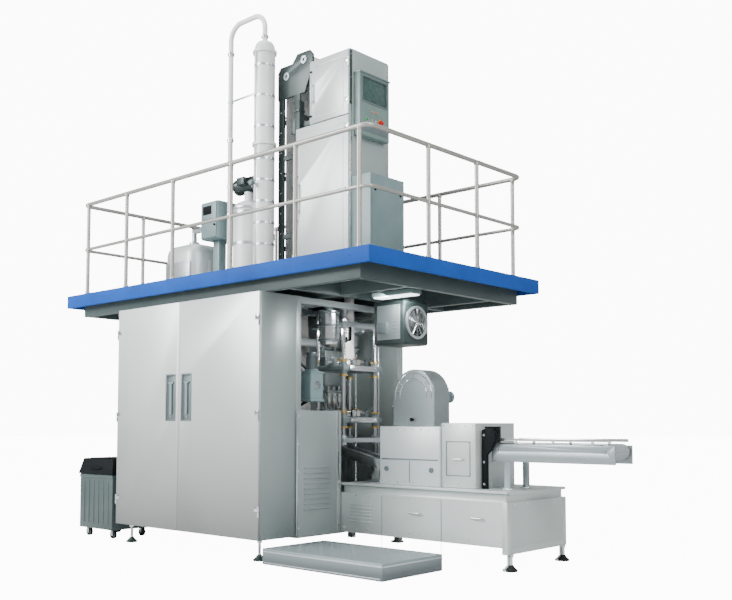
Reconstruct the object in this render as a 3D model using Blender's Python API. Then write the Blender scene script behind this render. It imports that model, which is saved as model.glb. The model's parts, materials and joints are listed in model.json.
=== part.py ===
"""Vertical form fill sealer for brick cartons: a two-door electrical cabinet, a jaw bay, a railed
deck with a filling tower, a rear reel magazine, a folding table and an outfeed conveyor.

Metres, +Z up. The origin is on the floor, at the middle of the machine's footprint. +X runs along
the machine towards the outfeed and -Y faces the operator in front of the cabinet doors."""

import math

import bmesh
import bpy
from mathutils import Matrix, Vector

# ---------------------------------------------------------------- driving dimensions
GAP = 0.0004                     # clearance between pieces that rest on each other
RUN = 0.001                      # running clearance round shafts and rods
SHEET = 0.015                    # thickness of folded cabinet walls

DECK_X = (-2.82, 1.48)           # deck outline
DECK_Y = (-1.30, 1.09)
DECK_TOP = 2.50
FASCIA_DEPTH = 0.13
FASCIA_THICK = 0.03
RAIL_HEIGHT = 1.00
RAIL_R = 0.020
RAIL_INSET = 0.118

CAB_X = (-1.89, 0.21)            # electrical cabinet, and the machine body behind it
CAB_Y = (-1.24, -0.84)
CAB_Z = (0.18, 2.275)
DOOR_THICK = 0.028
DOOR_SPLIT_X = -0.90
BODY_Y = (-0.8396, 0.60)
BAY_X0 = -0.44                   # the jaw bay runs from here to the body's right side

TUBE_X, TUBE_Y = -0.01, 0.07     # axis of the carton tube
TUBE_R = 0.048
WEB_WIDTH = 0.32

TOWER_X = (-0.27, 0.25)
TOWER_LOW_X0 = -0.46             # the tower's lower part is wider on this side
TOWER_Y = (-0.20, 0.35)
TOWER_TOP, TOWER_STEP = 4.68, 4.05

TABLE_X = (0.2104, 2.01)
TABLE_Y = (-0.28, 0.61)
TABLE_Z = (0.18, 0.62)

CONV_X = (1.70, 2.82)
CONV_Y = (-0.04, 0.20)
CONV_TOP = 1.00
CONV_ROLLER_R = 0.055

REEL_X, REEL_Z, REEL_R = -1.19, 1.02, 0.50

# ---------------------------------------------------------------- materials
PALETTE = {
    # name: (colour, roughness, metallic)
    "stainless": ((0.72, 0.74, 0.74), 0.35, 0.9),
    "door_steel": ((0.74, 0.76, 0.77), 0.38, 0.8),
    "dark_steel": ((0.10, 0.12, 0.12), 0.5, 0.6),
    "rail_steel": ((0.60, 0.60, 0.58), 0.35, 0.9),
    "deck_blue": ((0.05, 0.17, 0.55), 0.4, 0.0),
    "deck_plate": ((0.45, 0.46, 0.44), 0.5, 0.7),
    "teal_paint": ((0.30, 0.40, 0.42), 0.45, 0.2),
    "black_plastic": ((0.02, 0.02, 0.02), 0.5, 0.0),
    "carton": ((0.86, 0.84, 0.78), 0.5, 0.0),
    "red_plastic": ((0.7, 0.03, 0.03), 0.4, 0.0),
    "green_plastic": ((0.05, 0.5, 0.12), 0.4, 0.0),
    "white_panel": ((0.85, 0.86, 0.85), 0.4, 0.1),
    "belt": ((0.16, 0.18, 0.19), 0.6, 0.0),
}


def material(name):
    """The named Principled material, made once."""
    found = bpy.data.materials.get(name)
    if found:
        return found
    colour, roughness, metallic = PALETTE[name]
    made = bpy.data.materials.new(name)
    made.use_nodes = True
    shader = made.node_tree.nodes["Principled BSDF"]
    shader.inputs["Base Color"].default_value = (*colour, 1.0)
    shader.inputs["Roughness"].default_value = roughness
    shader.inputs["Metallic"].default_value = metallic
    return made


# ---------------------------------------------------------------- modelling helpers
def clear_scene():
    for obj in list(bpy.data.objects):
        bpy.data.objects.remove(obj)


def link(mesh, name):
    obj = bpy.data.objects.new(name, mesh)
    machine.objects.link(obj)
    return obj


def paint(obj, slot):
    obj.data.materials.clear()
    obj.data.materials.append(material(slot))
    return obj


def box(x, y, z, name="piece"):
    """A box from three (low, high) pairs."""
    bm = bmesh.new()
    bmesh.ops.create_cube(bm, size=1.0)
    size = Vector((x[1] - x[0], y[1] - y[0], z[1] - z[0]))
    centre = Vector((x[0] + x[1], y[0] + y[1], z[0] + z[1])) / 2
    bmesh.ops.transform(bm, matrix=Matrix.Translation(centre) @ Matrix.Diagonal((*size, 1.0)), verts=bm.verts)
    mesh = bpy.data.meshes.new(name)
    bm.to_mesh(mesh)
    bm.free()
    return link(mesh, name)


def rod(start, end, radius, segments=12, end_radius=None, name="piece"):
    """A cylinder, or a cone with end_radius, between two points."""
    start, end = Vector(start), Vector(end)
    along = end - start
    bm = bmesh.new()
    bmesh.ops.create_cone(
        bm, cap_ends=True, segments=segments, radius1=radius,
        radius2=radius if end_radius is None else end_radius, depth=along.length,
    )
    turn = along.to_track_quat("Z", "Y").to_matrix().to_4x4()
    bmesh.ops.transform(bm, matrix=Matrix.Translation((start + end) / 2) @ turn, verts=bm.verts)
    mesh = bpy.data.meshes.new(name)
    bm.to_mesh(mesh)
    bm.free()
    return link(mesh, name)


def pipe(points, radius, resolution=2, closed=False, name="piece"):
    """A bent tube along the points, as a mesh with welded caps."""
    curve = bpy.data.curves.new(name, "CURVE")
    curve.dimensions = "3D"
    curve.bevel_depth = radius
    curve.bevel_resolution = resolution
    curve.use_fill_caps = not closed
    spline = curve.splines.new("POLY")
    spline.points.add(len(points) - 1)
    for point, place in zip(spline.points, points):
        point.co = (*place, 1.0)
    spline.use_cyclic_u = closed
    return meshed(link(curve, name), name)


def meshed(obj, name):
    """The object's evaluated mesh as a new mesh object; the first object is removed."""
    bpy.context.view_layer.update()
    evaluated = obj.evaluated_get(bpy.context.evaluated_depsgraph_get())
    mesh = bpy.data.meshes.new_from_object(evaluated)
    mesh.transform(obj.matrix_world)
    bpy.data.objects.remove(obj)
    bm = bmesh.new()
    bm.from_mesh(mesh)
    bmesh.ops.remove_doubles(bm, verts=bm.verts, dist=0.00005)
    bmesh.ops.recalc_face_normals(bm, faces=bm.faces)
    bm.to_mesh(mesh)
    bm.free()
    mesh.name = name
    return link(mesh, name)


def arc(centre, radius, start, end, steps, plane="XZ", fixed=0.0):
    """Points on an arc in degrees, in the XZ or XY plane."""
    found = []
    for step in range(steps + 1):
        angle = math.radians(start + (end - start) * step / steps)
        u = centre[0] + radius * math.cos(angle)
        v = centre[1] + radius * math.sin(angle)
        found.append((u, fixed, v) if plane == "XZ" else (u, v, fixed))
    return found


def rounded_box(x, y, z, radius):
    """A box with its four vertical edges and its top edges rounded."""
    obj = box(x, y, z)
    bm = bmesh.new()
    bm.from_mesh(obj.data)
    edges = [edge for edge in bm.edges if max(vert.co.z for vert in edge.verts) > z[1] - 0.001]
    bmesh.ops.bevel(bm, geom=edges, offset=radius, segments=3, affect="EDGES", profile=0.5)
    bm.to_mesh(obj.data)
    bm.free()
    return obj


def plate(outline, y, name="piece"):
    """A flat outline of (x, z) points, extruded between the two y values."""
    curve = bpy.data.curves.new(name, "CURVE")
    curve.dimensions = "2D"
    curve.fill_mode = "BOTH"
    curve.extrude = (y[1] - y[0]) / 2
    spline = curve.splines.new("POLY")
    spline.points.add(len(outline) - 1)
    for point, (u, v) in zip(spline.points, outline):
        point.co = (u, v, 0.0, 1.0)
    spline.use_cyclic_u = True
    obj = link(curve, name)
    obj.rotation_euler = (math.pi / 2, 0.0, 0.0)
    obj.location = (0.0, (y[0] + y[1]) / 2, 0.0)
    return meshed(obj, name)


def boolean(base, others, operation):
    """Joins or cuts base with each of the others, which are used up."""
    for other in others:
        step = base.modifiers.new(operation, "BOOLEAN")
        step.operation = operation
        step.solver = "EXACT"
        step.object = other
    bpy.context.view_layer.update()
    evaluated = base.evaluated_get(bpy.context.evaluated_depsgraph_get())
    mesh = bpy.data.meshes.new_from_object(evaluated)
    base.modifiers.clear()
    base.data = mesh
    for other in others:
        bpy.data.objects.remove(other)
    return base


def node(name, pieces, slot, cuts=()):
    """One finished sub-part: the pieces joined into one body, cut, named and painted."""
    base = pieces[0]
    if len(pieces) > 1:
        boolean(base, pieces[1:], "UNION")
    if cuts:
        boolean(base, list(cuts), "DIFFERENCE")
    base.name = name
    base.data.name = name
    base.data.shade_smooth()
    base.data.set_sharp_from_angle(angle=math.radians(35))
    return paint(base, slot)


def shell(x, y, z, wall, open_side):
    """A box shell and its cavity cutter, open on one side such as '-Y' or '-Z'."""
    spans = {"X": list(x), "Y": list(y), "Z": list(z)}
    inner = {key: [span[0] + wall, span[1] - wall] for key, span in spans.items()}
    sign, key = open_side
    side = 0 if sign == "-" else 1
    inner[key][side] = spans[key][side] + (-wall if side == 0 else wall)
    return box(x, y, z), box(*(inner[key] for key in "XYZ"))


# ---------------------------------------------------------------- body and cabinet
FRAME_TUBE = 0.06
HANDLE_Z = 1.53                  # barrel of each door lever


def build_main_frame():
    t = FRAME_TUBE
    x_posts = (CAB_X[0] + GAP, BAY_X0 - t / 2, CAB_X[1] - t - GAP)
    y_posts = (BODY_Y[0], BODY_Y[1] - t)
    low, high = CAB_Z
    pieces = []
    for x in x_posts:
        for y in y_posts:
            foot = low if y == y_posts[0] else 0.0
            pieces.append(box((x, x + t), (y, y + t), (foot, high)))
    for y in y_posts:
        for z in (low, high - t):
            pieces.append(box((x_posts[0] + t / 2, x_posts[-1] + t / 2), (y + 0.001, y + t - 0.001), (z + 0.001, z + t - 0.001)))
    for x in x_posts:
        for z in (low, high - t):
            pieces.append(box((x + 0.002, x + t - 0.002), (y_posts[0] + t / 2, y_posts[1] + t / 2), (z + 0.002, z + t - 0.002)))
    for x in (x_posts[0], x_posts[-1]):
        pieces.append(box((x - 0.02, x + t + 0.02), (y_posts[1] - 0.02, y_posts[1] + t - 0.003), (0.0, 0.02)))
    node("main_frame", pieces, "stainless")


def build_electrical_cabinet():
    outer, cavity = shell(CAB_X, CAB_Y, CAB_Z, SHEET, "-Y")
    node("electrical_cabinet", [outer], "door_steel", [cavity])
    # the doors close on the cabinet's front edge
    y = (CAB_Y[0] - GAP - DOOR_THICK, CAB_Y[0] - GAP)
    for side, x in (
        ("left", (CAB_X[0], DOOR_SPLIT_X - 0.002)),
        ("right", (DOOR_SPLIT_X + 0.002, CAB_X[1])),
    ):
        door = box(x, y, (CAB_Z[0] + 0.002, CAB_Z[1] - 0.002))
        free = x[1] if side == "left" else x[0]
        way = -1 if side == "left" else 1
        mid = free + way * 0.115
        recess = box((mid - 0.065, mid + 0.065), (y[0] - 0.02, y[0] + 0.014), (1.19, 1.60))
        node("cabinet_door_" + side, [door], "door_steel", [recess])
        # a lever lies in the recess and lifts about the barrel at its upper end
        lever = box((mid - 0.014, mid + 0.014), (y[0] - 0.004, y[0] + 0.008), (1.24, HANDLE_Z))
        barrel = rod((mid - 0.035, y[0] + 0.004, HANDLE_Z), (mid + 0.035, y[0] + 0.004, HANDLE_Z), 0.009, 16)
        node("door_handle_" + side, [barrel, lever], "black_plastic")


def build_component_panel():
    """The back plate inside the cabinet with drives, contactor rows and cable ducts."""
    back = CAB_Y[1] - SHEET - GAP
    base = box((-1.80, 0.12), (back - 0.02, back), (0.30, 2.15))
    pieces = [base]
    for index in range(5):
        x = -1.72 + index * 0.22
        pieces.append(box((x, x + 0.17), (back - 0.22, back - 0.01), (1.62, 2.00)))
    for row in range(3):
        z = 0.45 + row * 0.36
        pieces.append(box((-1.72, 0.02), (back - 0.10, back - 0.01), (z, z + 0.14)))
        pieces.append(box((-1.76, 0.08), (back - 0.07, back - 0.012), (z + 0.20, z + 0.26)))
    pieces.append(box((-0.55, -0.02), (back - 0.17, back - 0.01), (1.60, 2.02)))
    node("component_panel", pieces, "white_panel")


def build_body_panels():
    # rear door of the reel magazine, hinged on its outer edge
    y = (BODY_Y[1] + GAP, BODY_Y[1] + 0.02)
    door = box((CAB_X[0], BAY_X0 - 0.02), y, (CAB_Z[0] + 0.06, CAB_Z[1] - 0.02))
    window = box((-1.60, -0.75), (y[0] - 0.01, y[1] + 0.01), (1.25, 2.05))
    pull = box((-0.53, -0.51), (y[1] - 0.002, y[1] + 0.03), (1.05, 1.25))
    node("reel_bay_door", [door, pull], "stainless", [window])
    # one folded skin: floor pan, left side, rear of the jaw bay and its lower right side
    low = CAB_Z[0] - 0.014
    rear_x = (BAY_X0 + 0.04, CAB_X[1] - FRAME_TUBE - 0.01)
    pan = box((CAB_X[0] - 0.012, CAB_X[1] + 0.012), (BODY_Y[0] + 0.002, BODY_Y[1] - FRAME_TUBE - 0.005), (low, CAB_Z[0] - GAP))
    tongue = box(rear_x, (BODY_Y[1] - 0.08, BODY_Y[1] + 0.011), (low + 0.001, CAB_Z[0] - GAP * 3))
    left = box((CAB_X[0] - 0.0115, CAB_X[0] - GAP), (BODY_Y[0] + 0.003, BODY_Y[1] - 0.07), (low + 0.002, CAB_Z[1] - 0.001))
    rear = box((rear_x[0] - 0.01, CAB_X[1]), (BODY_Y[1] + GAP, BODY_Y[1] + 0.012), (low + 0.002, CAB_Z[1] - 0.001))
    right_y = (BODY_Y[0] + 0.003, TABLE_Y[0] - 0.002)
    right = box((CAB_X[1] + GAP, CAB_X[1] + 0.0115), right_y, (low + 0.002, 1.27))
    table_room = box((CAB_X[1] - 0.0004, CAB_X[1] + 0.05), (TABLE_Y[0] - 0.0015, 1.0), (0.1, 0.3))
    node("body_panels", [pan, tongue, left, rear, right], "stainless", [table_room])


def build_foot(name, x, y, top):
    """A levelling foot: rubber-soled disc, ball neck, threaded stem and lock nut."""
    disc = rod((x, y, 0.0), (x, y, 0.016), 0.055, 16)
    dome = rod((x, y, 0.012), (x, y, 0.045), 0.046, 16, end_radius=0.018)
    stem = rod((x, y, 0.03), (x, y, top - GAP), 0.012, 12)
    nut = rod((x, y, top - 0.03), (x, y, top - 0.012), 0.022, 6)
    node(name, [disc, dome, stem, nut], "dark_steel")


# ---------------------------------------------------------------- deck
def ring(outer_x, outer_y, width, z):
    """A rectangular frame and the cutter of its middle."""
    inner = box(
        (outer_x[0] + width, outer_x[1] - width),
        (outer_y[0] + width, outer_y[1] - width),
        (z[0] - 0.05, z[1] + 0.05),
    )
    return box(outer_x, outer_y, z), inner


WEB_UP_X = -0.742                # where the carton web rises through the deck


def build_deck():
    outer, middle = ring(DECK_X, DECK_Y, FASCIA_THICK, (DECK_TOP - FASCIA_DEPTH, DECK_TOP))
    node("deck_fascia", [outer], "deck_blue", [middle])
    inset = FASCIA_THICK + GAP
    floor = box(
        (DECK_X[0] + inset, DECK_X[1] - inset), (DECK_Y[0] + inset, DECK_Y[1] - inset),
        (DECK_TOP - 0.035, DECK_TOP - 0.005),
    )
    half = WEB_WIDTH / 2 + 0.03
    tube_hole = box((TUBE_X - 0.14, TUBE_X + 0.14), (TUBE_Y - 0.14, TUBE_Y + 0.14), (2.4, 2.6))
    web_slot = box((WEB_UP_X - 0.05, WEB_UP_X + 0.05), (TUBE_Y - half, TUBE_Y + half), (2.4, 2.6))
    node("deck_plate", [floor], "deck_plate", [tube_hole, web_slot])
    # recessed beams between the body's top and the deck plate
    z = (CAB_Z[1] + GAP, DECK_TOP - 0.035 - GAP)
    outer, middle = ring((-2.64, 1.30), (-1.20, 0.99), 0.06, z)
    boolean(outer, [middle], "DIFFERENCE")
    beams = [outer]
    inner_z = (z[0] + 0.004, z[1] - 0.004)
    for x in (-1.86, -1.10, 0.42):
        beams.append(box((x, x + 0.06), (-1.17, 0.96), inner_z))
    for y in (-0.56, 0.62):
        beams.append(box((-2.61, 1.27), (y, y + 0.06), (z[0] + 0.008, z[1] - 0.008)))
    node("deck_frame", beams, "dark_steel")


def corner_points(points, radius, z, steps=3):
    """A path through the corners, rounded in the XY plane."""
    path = [Vector((*points[0], z))]
    for before, here, after in zip(points, points[1:], points[2:]):
        here = Vector((*here, z))
        inward = (Vector((*before, z)) - here).normalized()
        outward = (Vector((*after, z)) - here).normalized()
        start, end = here + inward * radius, here + outward * radius
        for step in range(steps + 1):
            t = step / steps
            path.append(start * (1 - t) ** 2 + here * 2 * t * (1 - t) + end * t**2)
    path.append(Vector((*points[-1], z)))
    return path


GATE_X = (-2.66, -2.06)          # opening in the rear rail above the ladder


def build_guard_rail():
    left, right = DECK_X[0] + 0.11, DECK_X[1] - RAIL_INSET
    front, back = DECK_Y[0] + RAIL_INSET, DECK_Y[1] - RAIL_INSET
    corners = [(GATE_X[1], back), (right, back), (right, front), (left, front), (left, back)]
    top = DECK_TOP + RAIL_HEIGHT - RAIL_R
    pieces = [pipe(corner_points(corners, 0.09, top), RAIL_R, 1)]
    pieces.append(pipe(corner_points(corners, 0.09, top - 0.48), RAIL_R * 0.8, 1))
    posts = [(x, front) for x in (-2.62, -1.91, -1.14, -0.28, 0.55, 1.27)]
    posts += [(x, back) for x in (GATE_X[1] + 0.01, -1.30, -0.45, 0.40, 1.27)]
    posts += [(right, y) for y in (-0.43, 0.26)] + [(left, y) for y in (-0.44, 0.26, back - 0.01)]
    for x, y in posts:
        pieces.append(rod((x, y, DECK_TOP - 0.005 + GAP), (x, y, top + 0.006), RAIL_R * 0.92, 8))
        pieces.append(rod((x, y, DECK_TOP - 0.005 + GAP), (x, y, DECK_TOP + 0.012), 0.05, 8))
    node("guard_rail", pieces, "rail_steel")


def build_gate_and_ladder():
    back = DECK_Y[1] - RAIL_INSET
    x0, x1 = GATE_X[0] + 0.03, GATE_X[1] - 0.05
    low, high = DECK_TOP + 0.45, DECK_TOP + RAIL_HEIGHT - RAIL_R
    bars = [rod((x0, back, z), (x1 + 0.01, back, z), 0.016, 10) for z in (low, high)]
    bars += [rod((x, back, low - 0.016), (x, back, high + 0.016), 0.0165, 10) for x in (x0, x1)]
    bars += [rod((x1, back, z), (x1 + 0.024, back, z), 0.010, 8) for z in (low + 0.1, high - 0.1)]
    node("ladder_gate", bars, "rail_steel")
    # a steep ladder leans on the fascia's rear face
    foot_y, top_y, height = 1.265, DECK_Y[1] + 0.030, DECK_TOP - 0.02
    lean = math.atan2(foot_y - top_y, height)
    pieces = []
    for x in GATE_X:
        stringer = box((x - 0.012, x + 0.012), (-0.022, 0.022), (0.0, height / math.cos(lean) - 0.01))
        stringer.data.transform(Matrix.Rotation(lean, 4, "X"))
        stringer.data.transform(Matrix.Translation((0.0, foot_y, 0.004)))
        pieces.append(stringer)
        pieces.append(box((x - 0.03, x + 0.03), (1.22, 1.30), (0.0, 0.016)))
    for index in range(8):
        z = 0.28 + index * 0.28
        y = foot_y + (top_y - foot_y) * z / height
        pieces.append(rod((GATE_X[0], y, z), (GATE_X[1], y, z), 0.014, 10))
    node("access_ladder", pieces, "rail_steel")


# ---------------------------------------------------------------- tower
def build_tower():
    floor = DECK_TOP - 0.005 + GAP
    upper = box(TOWER_X, TOWER_Y, (TOWER_STEP - 0.05, TOWER_TOP))
    lower = box((TOWER_LOW_X0, TOWER_X[1]), (TOWER_Y[0], TOWER_Y[1] - 0.001), (floor, TOWER_STEP))
    w = SHEET
    room_y = (TOWER_Y[0] - 0.05, TOWER_Y[1] - w)
    cuts = [
        box((TOWER_X[0] + w, TOWER_X[1] - w), room_y, (TOWER_STEP - 0.2, TOWER_TOP - w)),
        box((TOWER_LOW_X0 + w, TOWER_X[1] - w), (room_y[0] - 0.01, room_y[1] - 0.002), (floor - 0.05, TOWER_STEP - w)),
        box((TOWER_X[0] - 0.05, TOWER_X[0] + 0.05), (TUBE_Y - 0.18, TUBE_Y + 0.18), (4.42, 4.65)),
    ]
    node("tower_housing", [lower, upper], "stainless", cuts)
    y = (TOWER_Y[0] - GAP - 0.02, TOWER_Y[0] - GAP)
    lower_door = box((TOWER_LOW_X0 + 0.004, TOWER_X[1] - 0.004), y, (2.60, TOWER_STEP - 0.006))
    pull = rod((-0.41, y[0] - 0.028, 3.20), (-0.41, y[0] - 0.028, 3.50), 0.010, 10)
    ends = [rod((-0.41, y[0] - 0.028, z), (-0.41, y[0] + 0.005, z), 0.0095, 10) for z in (3.22, 3.48)]
    node("tower_lower_door", [lower_door, pull, *ends], "door_steel")
    upper_door = box((TOWER_X[0] + 0.004, TOWER_X[1] - 0.004), y, (TOWER_STEP + 0.006, TOWER_TOP - 0.01))
    pull = rod((-0.22, y[0] - 0.028, 4.25), (-0.22, y[0] - 0.028, 4.45), 0.010, 10)
    ends = [rod((-0.22, y[0] - 0.028, z), (-0.22, y[0] + 0.005, z), 0.0095, 10) for z in (4.27, 4.43)]
    node("tower_upper_door", [upper_door, pull, *ends], "door_steel")


PANEL_X = (TOWER_X[1] + GAP, TOWER_X[1] + 0.08)


def build_control_panel():
    body = box(PANEL_X, (-0.15, 0.27), (3.86, 4.46))
    screen = box((PANEL_X[1] - 0.008, PANEL_X[1] + 0.02), (-0.11, 0.23), (4.19, 4.42))
    hole = rod((PANEL_X[1] - 0.030, -0.05, 4.02), (PANEL_X[1] + 0.02, -0.05, 4.02), 0.0155, 16)
    stop_hole = rod((PANEL_X[1] - 0.030, 0.14, 4.02), (PANEL_X[1] + 0.02, 0.14, 4.02), 0.0125, 16)
    node("control_panel", [body], "teal_paint", [screen, hole, stop_hole])
    button = rod((PANEL_X[1] - 0.022, -0.05, 4.02), (PANEL_X[1] + 0.010, -0.05, 4.02), 0.0145, 16)
    node("start_button", [button], "green_plastic")
    stem = rod((PANEL_X[1] - 0.020, 0.14, 4.02), (PANEL_X[1] + 0.012, 0.14, 4.02), 0.0115, 16)
    head = rod((PANEL_X[1] + 0.008, 0.14, 4.02), (PANEL_X[1] + 0.030, 0.14, 4.02), 0.026, 16, end_radius=0.021)
    node("emergency_stop", [stem, head], "red_plastic")


def build_valve_cabinet():
    x = (TOWER_X[1] + GAP, TOWER_X[1] + 0.24)
    outer, cavity = shell(x, (-0.18, 0.30), (DECK_TOP - 0.005 + GAP, 3.46), 0.012, "+Y")
    node("valve_cabinet", [outer], "teal_paint", [cavity])


def build_web_guide():
    """Two columned side plates left of the tower, which carry the two turning rollers."""
    floor = DECK_TOP - 0.005 + GAP
    y0, y1 = TUBE_Y - 0.20, TUBE_Y + 0.20
    outline = [(-0.81, 4.44), (-0.42, 4.44), (-0.31, 4.68), (-0.31, 4.80), (-0.35, 4.85)]
    outline += [(-0.53, 4.85), (-0.60, 4.77), (-0.77, 4.77), (-0.81, 4.72)]
    pieces = []
    for y in (y0, y1):
        pieces.append(plate(outline, (y - 0.012, y + 0.012)))
        pieces.append(box((-0.80, -0.72), (y - 0.010, y + 0.010), (floor, 4.50)))
        pieces.append(box((-0.57, -0.49), (y - 0.0101, y + 0.0101), (floor, 4.52)))
        for z in (3.00, 3.80):
            pieces.append(box((-0.79, -0.50), (y - 0.009, y + 0.009), (z, z + 0.05)))
    for z in (2.90, 3.62, 4.20):
        pieces.append(box((-0.79, -0.77), (y0, y1), (z, z + 0.05)))
        pieces.append(box((-0.53, -0.51), (y0, y1), (z + 0.001, z + 0.051)))
    bores = [rod((x, y0 - 0.1, z), (x, y1 + 0.1, z), AXLE_R + RUN, 16) for x, z in (OUTER_ROLLER, INNER_ROLLER)]
    node("web_guide_frame", pieces, "dark_steel", bores)


OUTER_ROLLER = (-0.68, 4.66)     # x, z of the two turning rollers' axes
INNER_ROLLER = (-0.43, 4.77)
ROLLER_R = 0.06
AXLE_R = 0.016


def build_rollers():
    half = WEB_WIDTH / 2 + 0.01
    for name, (x, z) in (("web_roller_outer", OUTER_ROLLER), ("web_roller_inner", INNER_ROLLER)):
        drum = rod((x, TUBE_Y - half, z), (x, TUBE_Y + half, z), ROLLER_R, 22)
        axle = rod((x, TUBE_Y - 0.205, z), (x, TUBE_Y + 0.205, z), AXLE_R, 14)
        node(name, [drum, axle], "dark_steel")


def build_air_line():
    """Heater column, arched air pipe, and the blower and scrubber units beside them on the deck."""
    floor = DECK_TOP - 0.005 + GAP
    x, y = -0.87, -0.27
    pieces = [rod((x, y, floor), (x, y, 4.95), 0.105, 18)]
    for z in (floor, 3.95, 4.90):
        pieces.append(rod((x, y, z), (x, y, z + 0.03), 0.122, 18))
    pieces.append(rod((x, y, 4.94), (x, y, 5.03), 0.104, 18, end_radius=0.045))
    node("air_heater_column", pieces, "stainless")
    left, bend, top = -1.405, 0.16, 5.34
    path = [(x, y, 5.03 + GAP)]
    path += [(px, y, pz) for px, _, pz in arc((x - bend, top - bend), bend, 0, 90, 5)]
    path += [(px, y, pz) for px, _, pz in arc((left + bend, top - bend), bend, 90, 180, 5)]
    path += [(left, y, 2.62)]
    node("sterile_air_pipe", [pipe(path, 0.026, 2)], "rail_steel")
    base = box((-1.80, -1.00), (-0.44, 0.06), (floor, 2.53))
    drum = rod((-1.175, -0.20, 2.52), (-1.175, -0.20, 3.36), 0.165, 22)
    dome = rod((-1.175, -0.20, 3.35), (-1.175, -0.20, 3.43), 0.164, 22, end_radius=0.10)
    neck = rod((-1.175, -0.20, 3.42), (-1.175, -0.20, 3.60), 0.05, 16)
    motor = rod((-1.35, -0.20, 3.62), (-1.00, -0.20, 3.62), 0.085, 18)
    gauge = rod((-1.04, -0.20, 3.62), (-1.04, -0.20, 3.76), 0.012, 10)
    dial = rod((-1.04, -0.225, 3.79), (-1.04, -0.175, 3.79), 0.045, 16)
    stand = box((-1.70, -1.60), (-0.25, -0.15), (2.52, 3.12))
    control = box((-1.78, -1.51), (-0.36, -0.04), (3.10, 3.50))
    elbow = rod((left, y, 2.52), (left, y, 2.62 - GAP), 0.04, 16)
    node("blower_unit", [base, drum, dome, neck, motor, gauge, dial, stand, control, elbow], "white_panel")
    body = rounded_box((-2.36, -1.82), (-0.42, 0.02), (floor, 3.10), 0.12)
    node("scrubber_unit", [body], "stainless")


# ---------------------------------------------------------------- carton web and tube
def build_reel():
    y0, y1 = TUBE_Y - WEB_WIDTH / 2, TUBE_Y + WEB_WIDTH / 2
    roll = rod((REEL_X, y0, REEL_Z), (REEL_X, y1, REEL_Z), REEL_R, 40)
    bore = rod((REEL_X, y0 - 0.1, REEL_Z), (REEL_X, y1 + 0.1, REEL_Z), 0.0765, 18)
    node("paper_reel", [roll], "carton", [bore])
    # the spindle is carried by a stub plate on each side of the magazine
    spindle = rod((REEL_X, y0 - 0.10, REEL_Z), (REEL_X, y1 + 0.10, REEL_Z), 0.025, 16)
    chuck = rod((REEL_X, y0 + 0.01, REEL_Z), (REEL_X, y1 - 0.01, REEL_Z), 0.0755, 18)
    node("reel_shaft", [spindle, chuck], "dark_steel")
    t = FRAME_TUBE
    pieces = []
    for y in (y0 - 0.09, y1 + 0.03):
        pieces.append(box((REEL_X - 0.06, REEL_X + 0.06), (y, y + 0.06), (0.26, REEL_Z + 0.07)))
    pieces.append(box((REEL_X - 0.061, REEL_X + 0.061), (BODY_Y[0] + t + 0.003, BODY_Y[1] - t - 0.003), (CAB_Z[0], 0.28)))
    bore = rod((REEL_X, y0 - 0.3, REEL_Z), (REEL_X, y1 + 0.3, REEL_Z), 0.025 + RUN, 16)
    node("reel_stand", pieces, "stainless", [bore])


def thickened(path, half):
    """The closed outline of a thin strip that runs along the path of (x, z) points."""
    sides = [], []
    for index, here in enumerate(path):
        before = path[max(index - 1, 0)]
        after = path[min(index + 1, len(path) - 1)]
        across = Vector((before[1] - after[1], after[0] - before[0])).normalized() * half
        sides[0].append((here[0] + across.x, here[1] + across.y))
        sides[1].append((here[0] - across.x, here[1] - across.y))
    return sides[0] + sides[1][::-1]


def build_web():
    """The carton web: from the reel, over both rollers, then down to where it closes to a tube."""
    clear = ROLLER_R + 0.002
    path = [(REEL_X + REEL_R + 0.003, REEL_Z), (REEL_X + REEL_R - 0.02, 1.7), (OUTER_ROLLER[0] - clear, 2.2)]
    path += [(u, v) for u, _, v in arc(OUTER_ROLLER, clear, 180, 114, 5)]
    path += [(u, v) for u, _, v in arc(INNER_ROLLER, clear, 114, 24, 6)]
    path += [(TUBE_X - TUBE_R + 0.0035, 4.09), (TUBE_X - TUBE_R + 0.0035, 4.04)]
    ribbon = plate(thickened(path, 0.0007), (TUBE_Y - WEB_WIDTH / 2, TUBE_Y + WEB_WIDTH / 2))
    tube = rod((TUBE_X, TUBE_Y, 2.008), (TUBE_X, TUBE_Y, 4.10), TUBE_R, 18)
    bore = rod((TUBE_X, TUBE_Y, 2.03), (TUBE_X, TUBE_Y, 4.20), TUBE_R - 0.002, 18)
    boolean(tube, [bore], "DIFFERENCE")
    # below the filling pipe the tube flattens to the seal between the jaws
    bm = bmesh.new()
    bmesh.ops.create_cone(bm, cap_ends=True, segments=24, radius1=TUBE_R, radius2=TUBE_R - 0.0006, depth=0.24)
    for vert in bm.verts:
        if vert.co.z < 0:
            vert.co.y *= 0.06
            vert.co.x *= 1.45
    bmesh.ops.translate(bm, verts=bm.verts, vec=(TUBE_X, TUBE_Y, 1.896))
    mesh = bpy.data.meshes.new("taper")
    bm.to_mesh(mesh)
    bm.free()
    taper = link(mesh, "taper")
    seal = box((TUBE_X - 0.068, TUBE_X + 0.068), (TUBE_Y - 0.0022, TUBE_Y + 0.0022), (1.715, 1.79))
    node("carton_web", [tube, taper, seal, ribbon], "carton")


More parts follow.
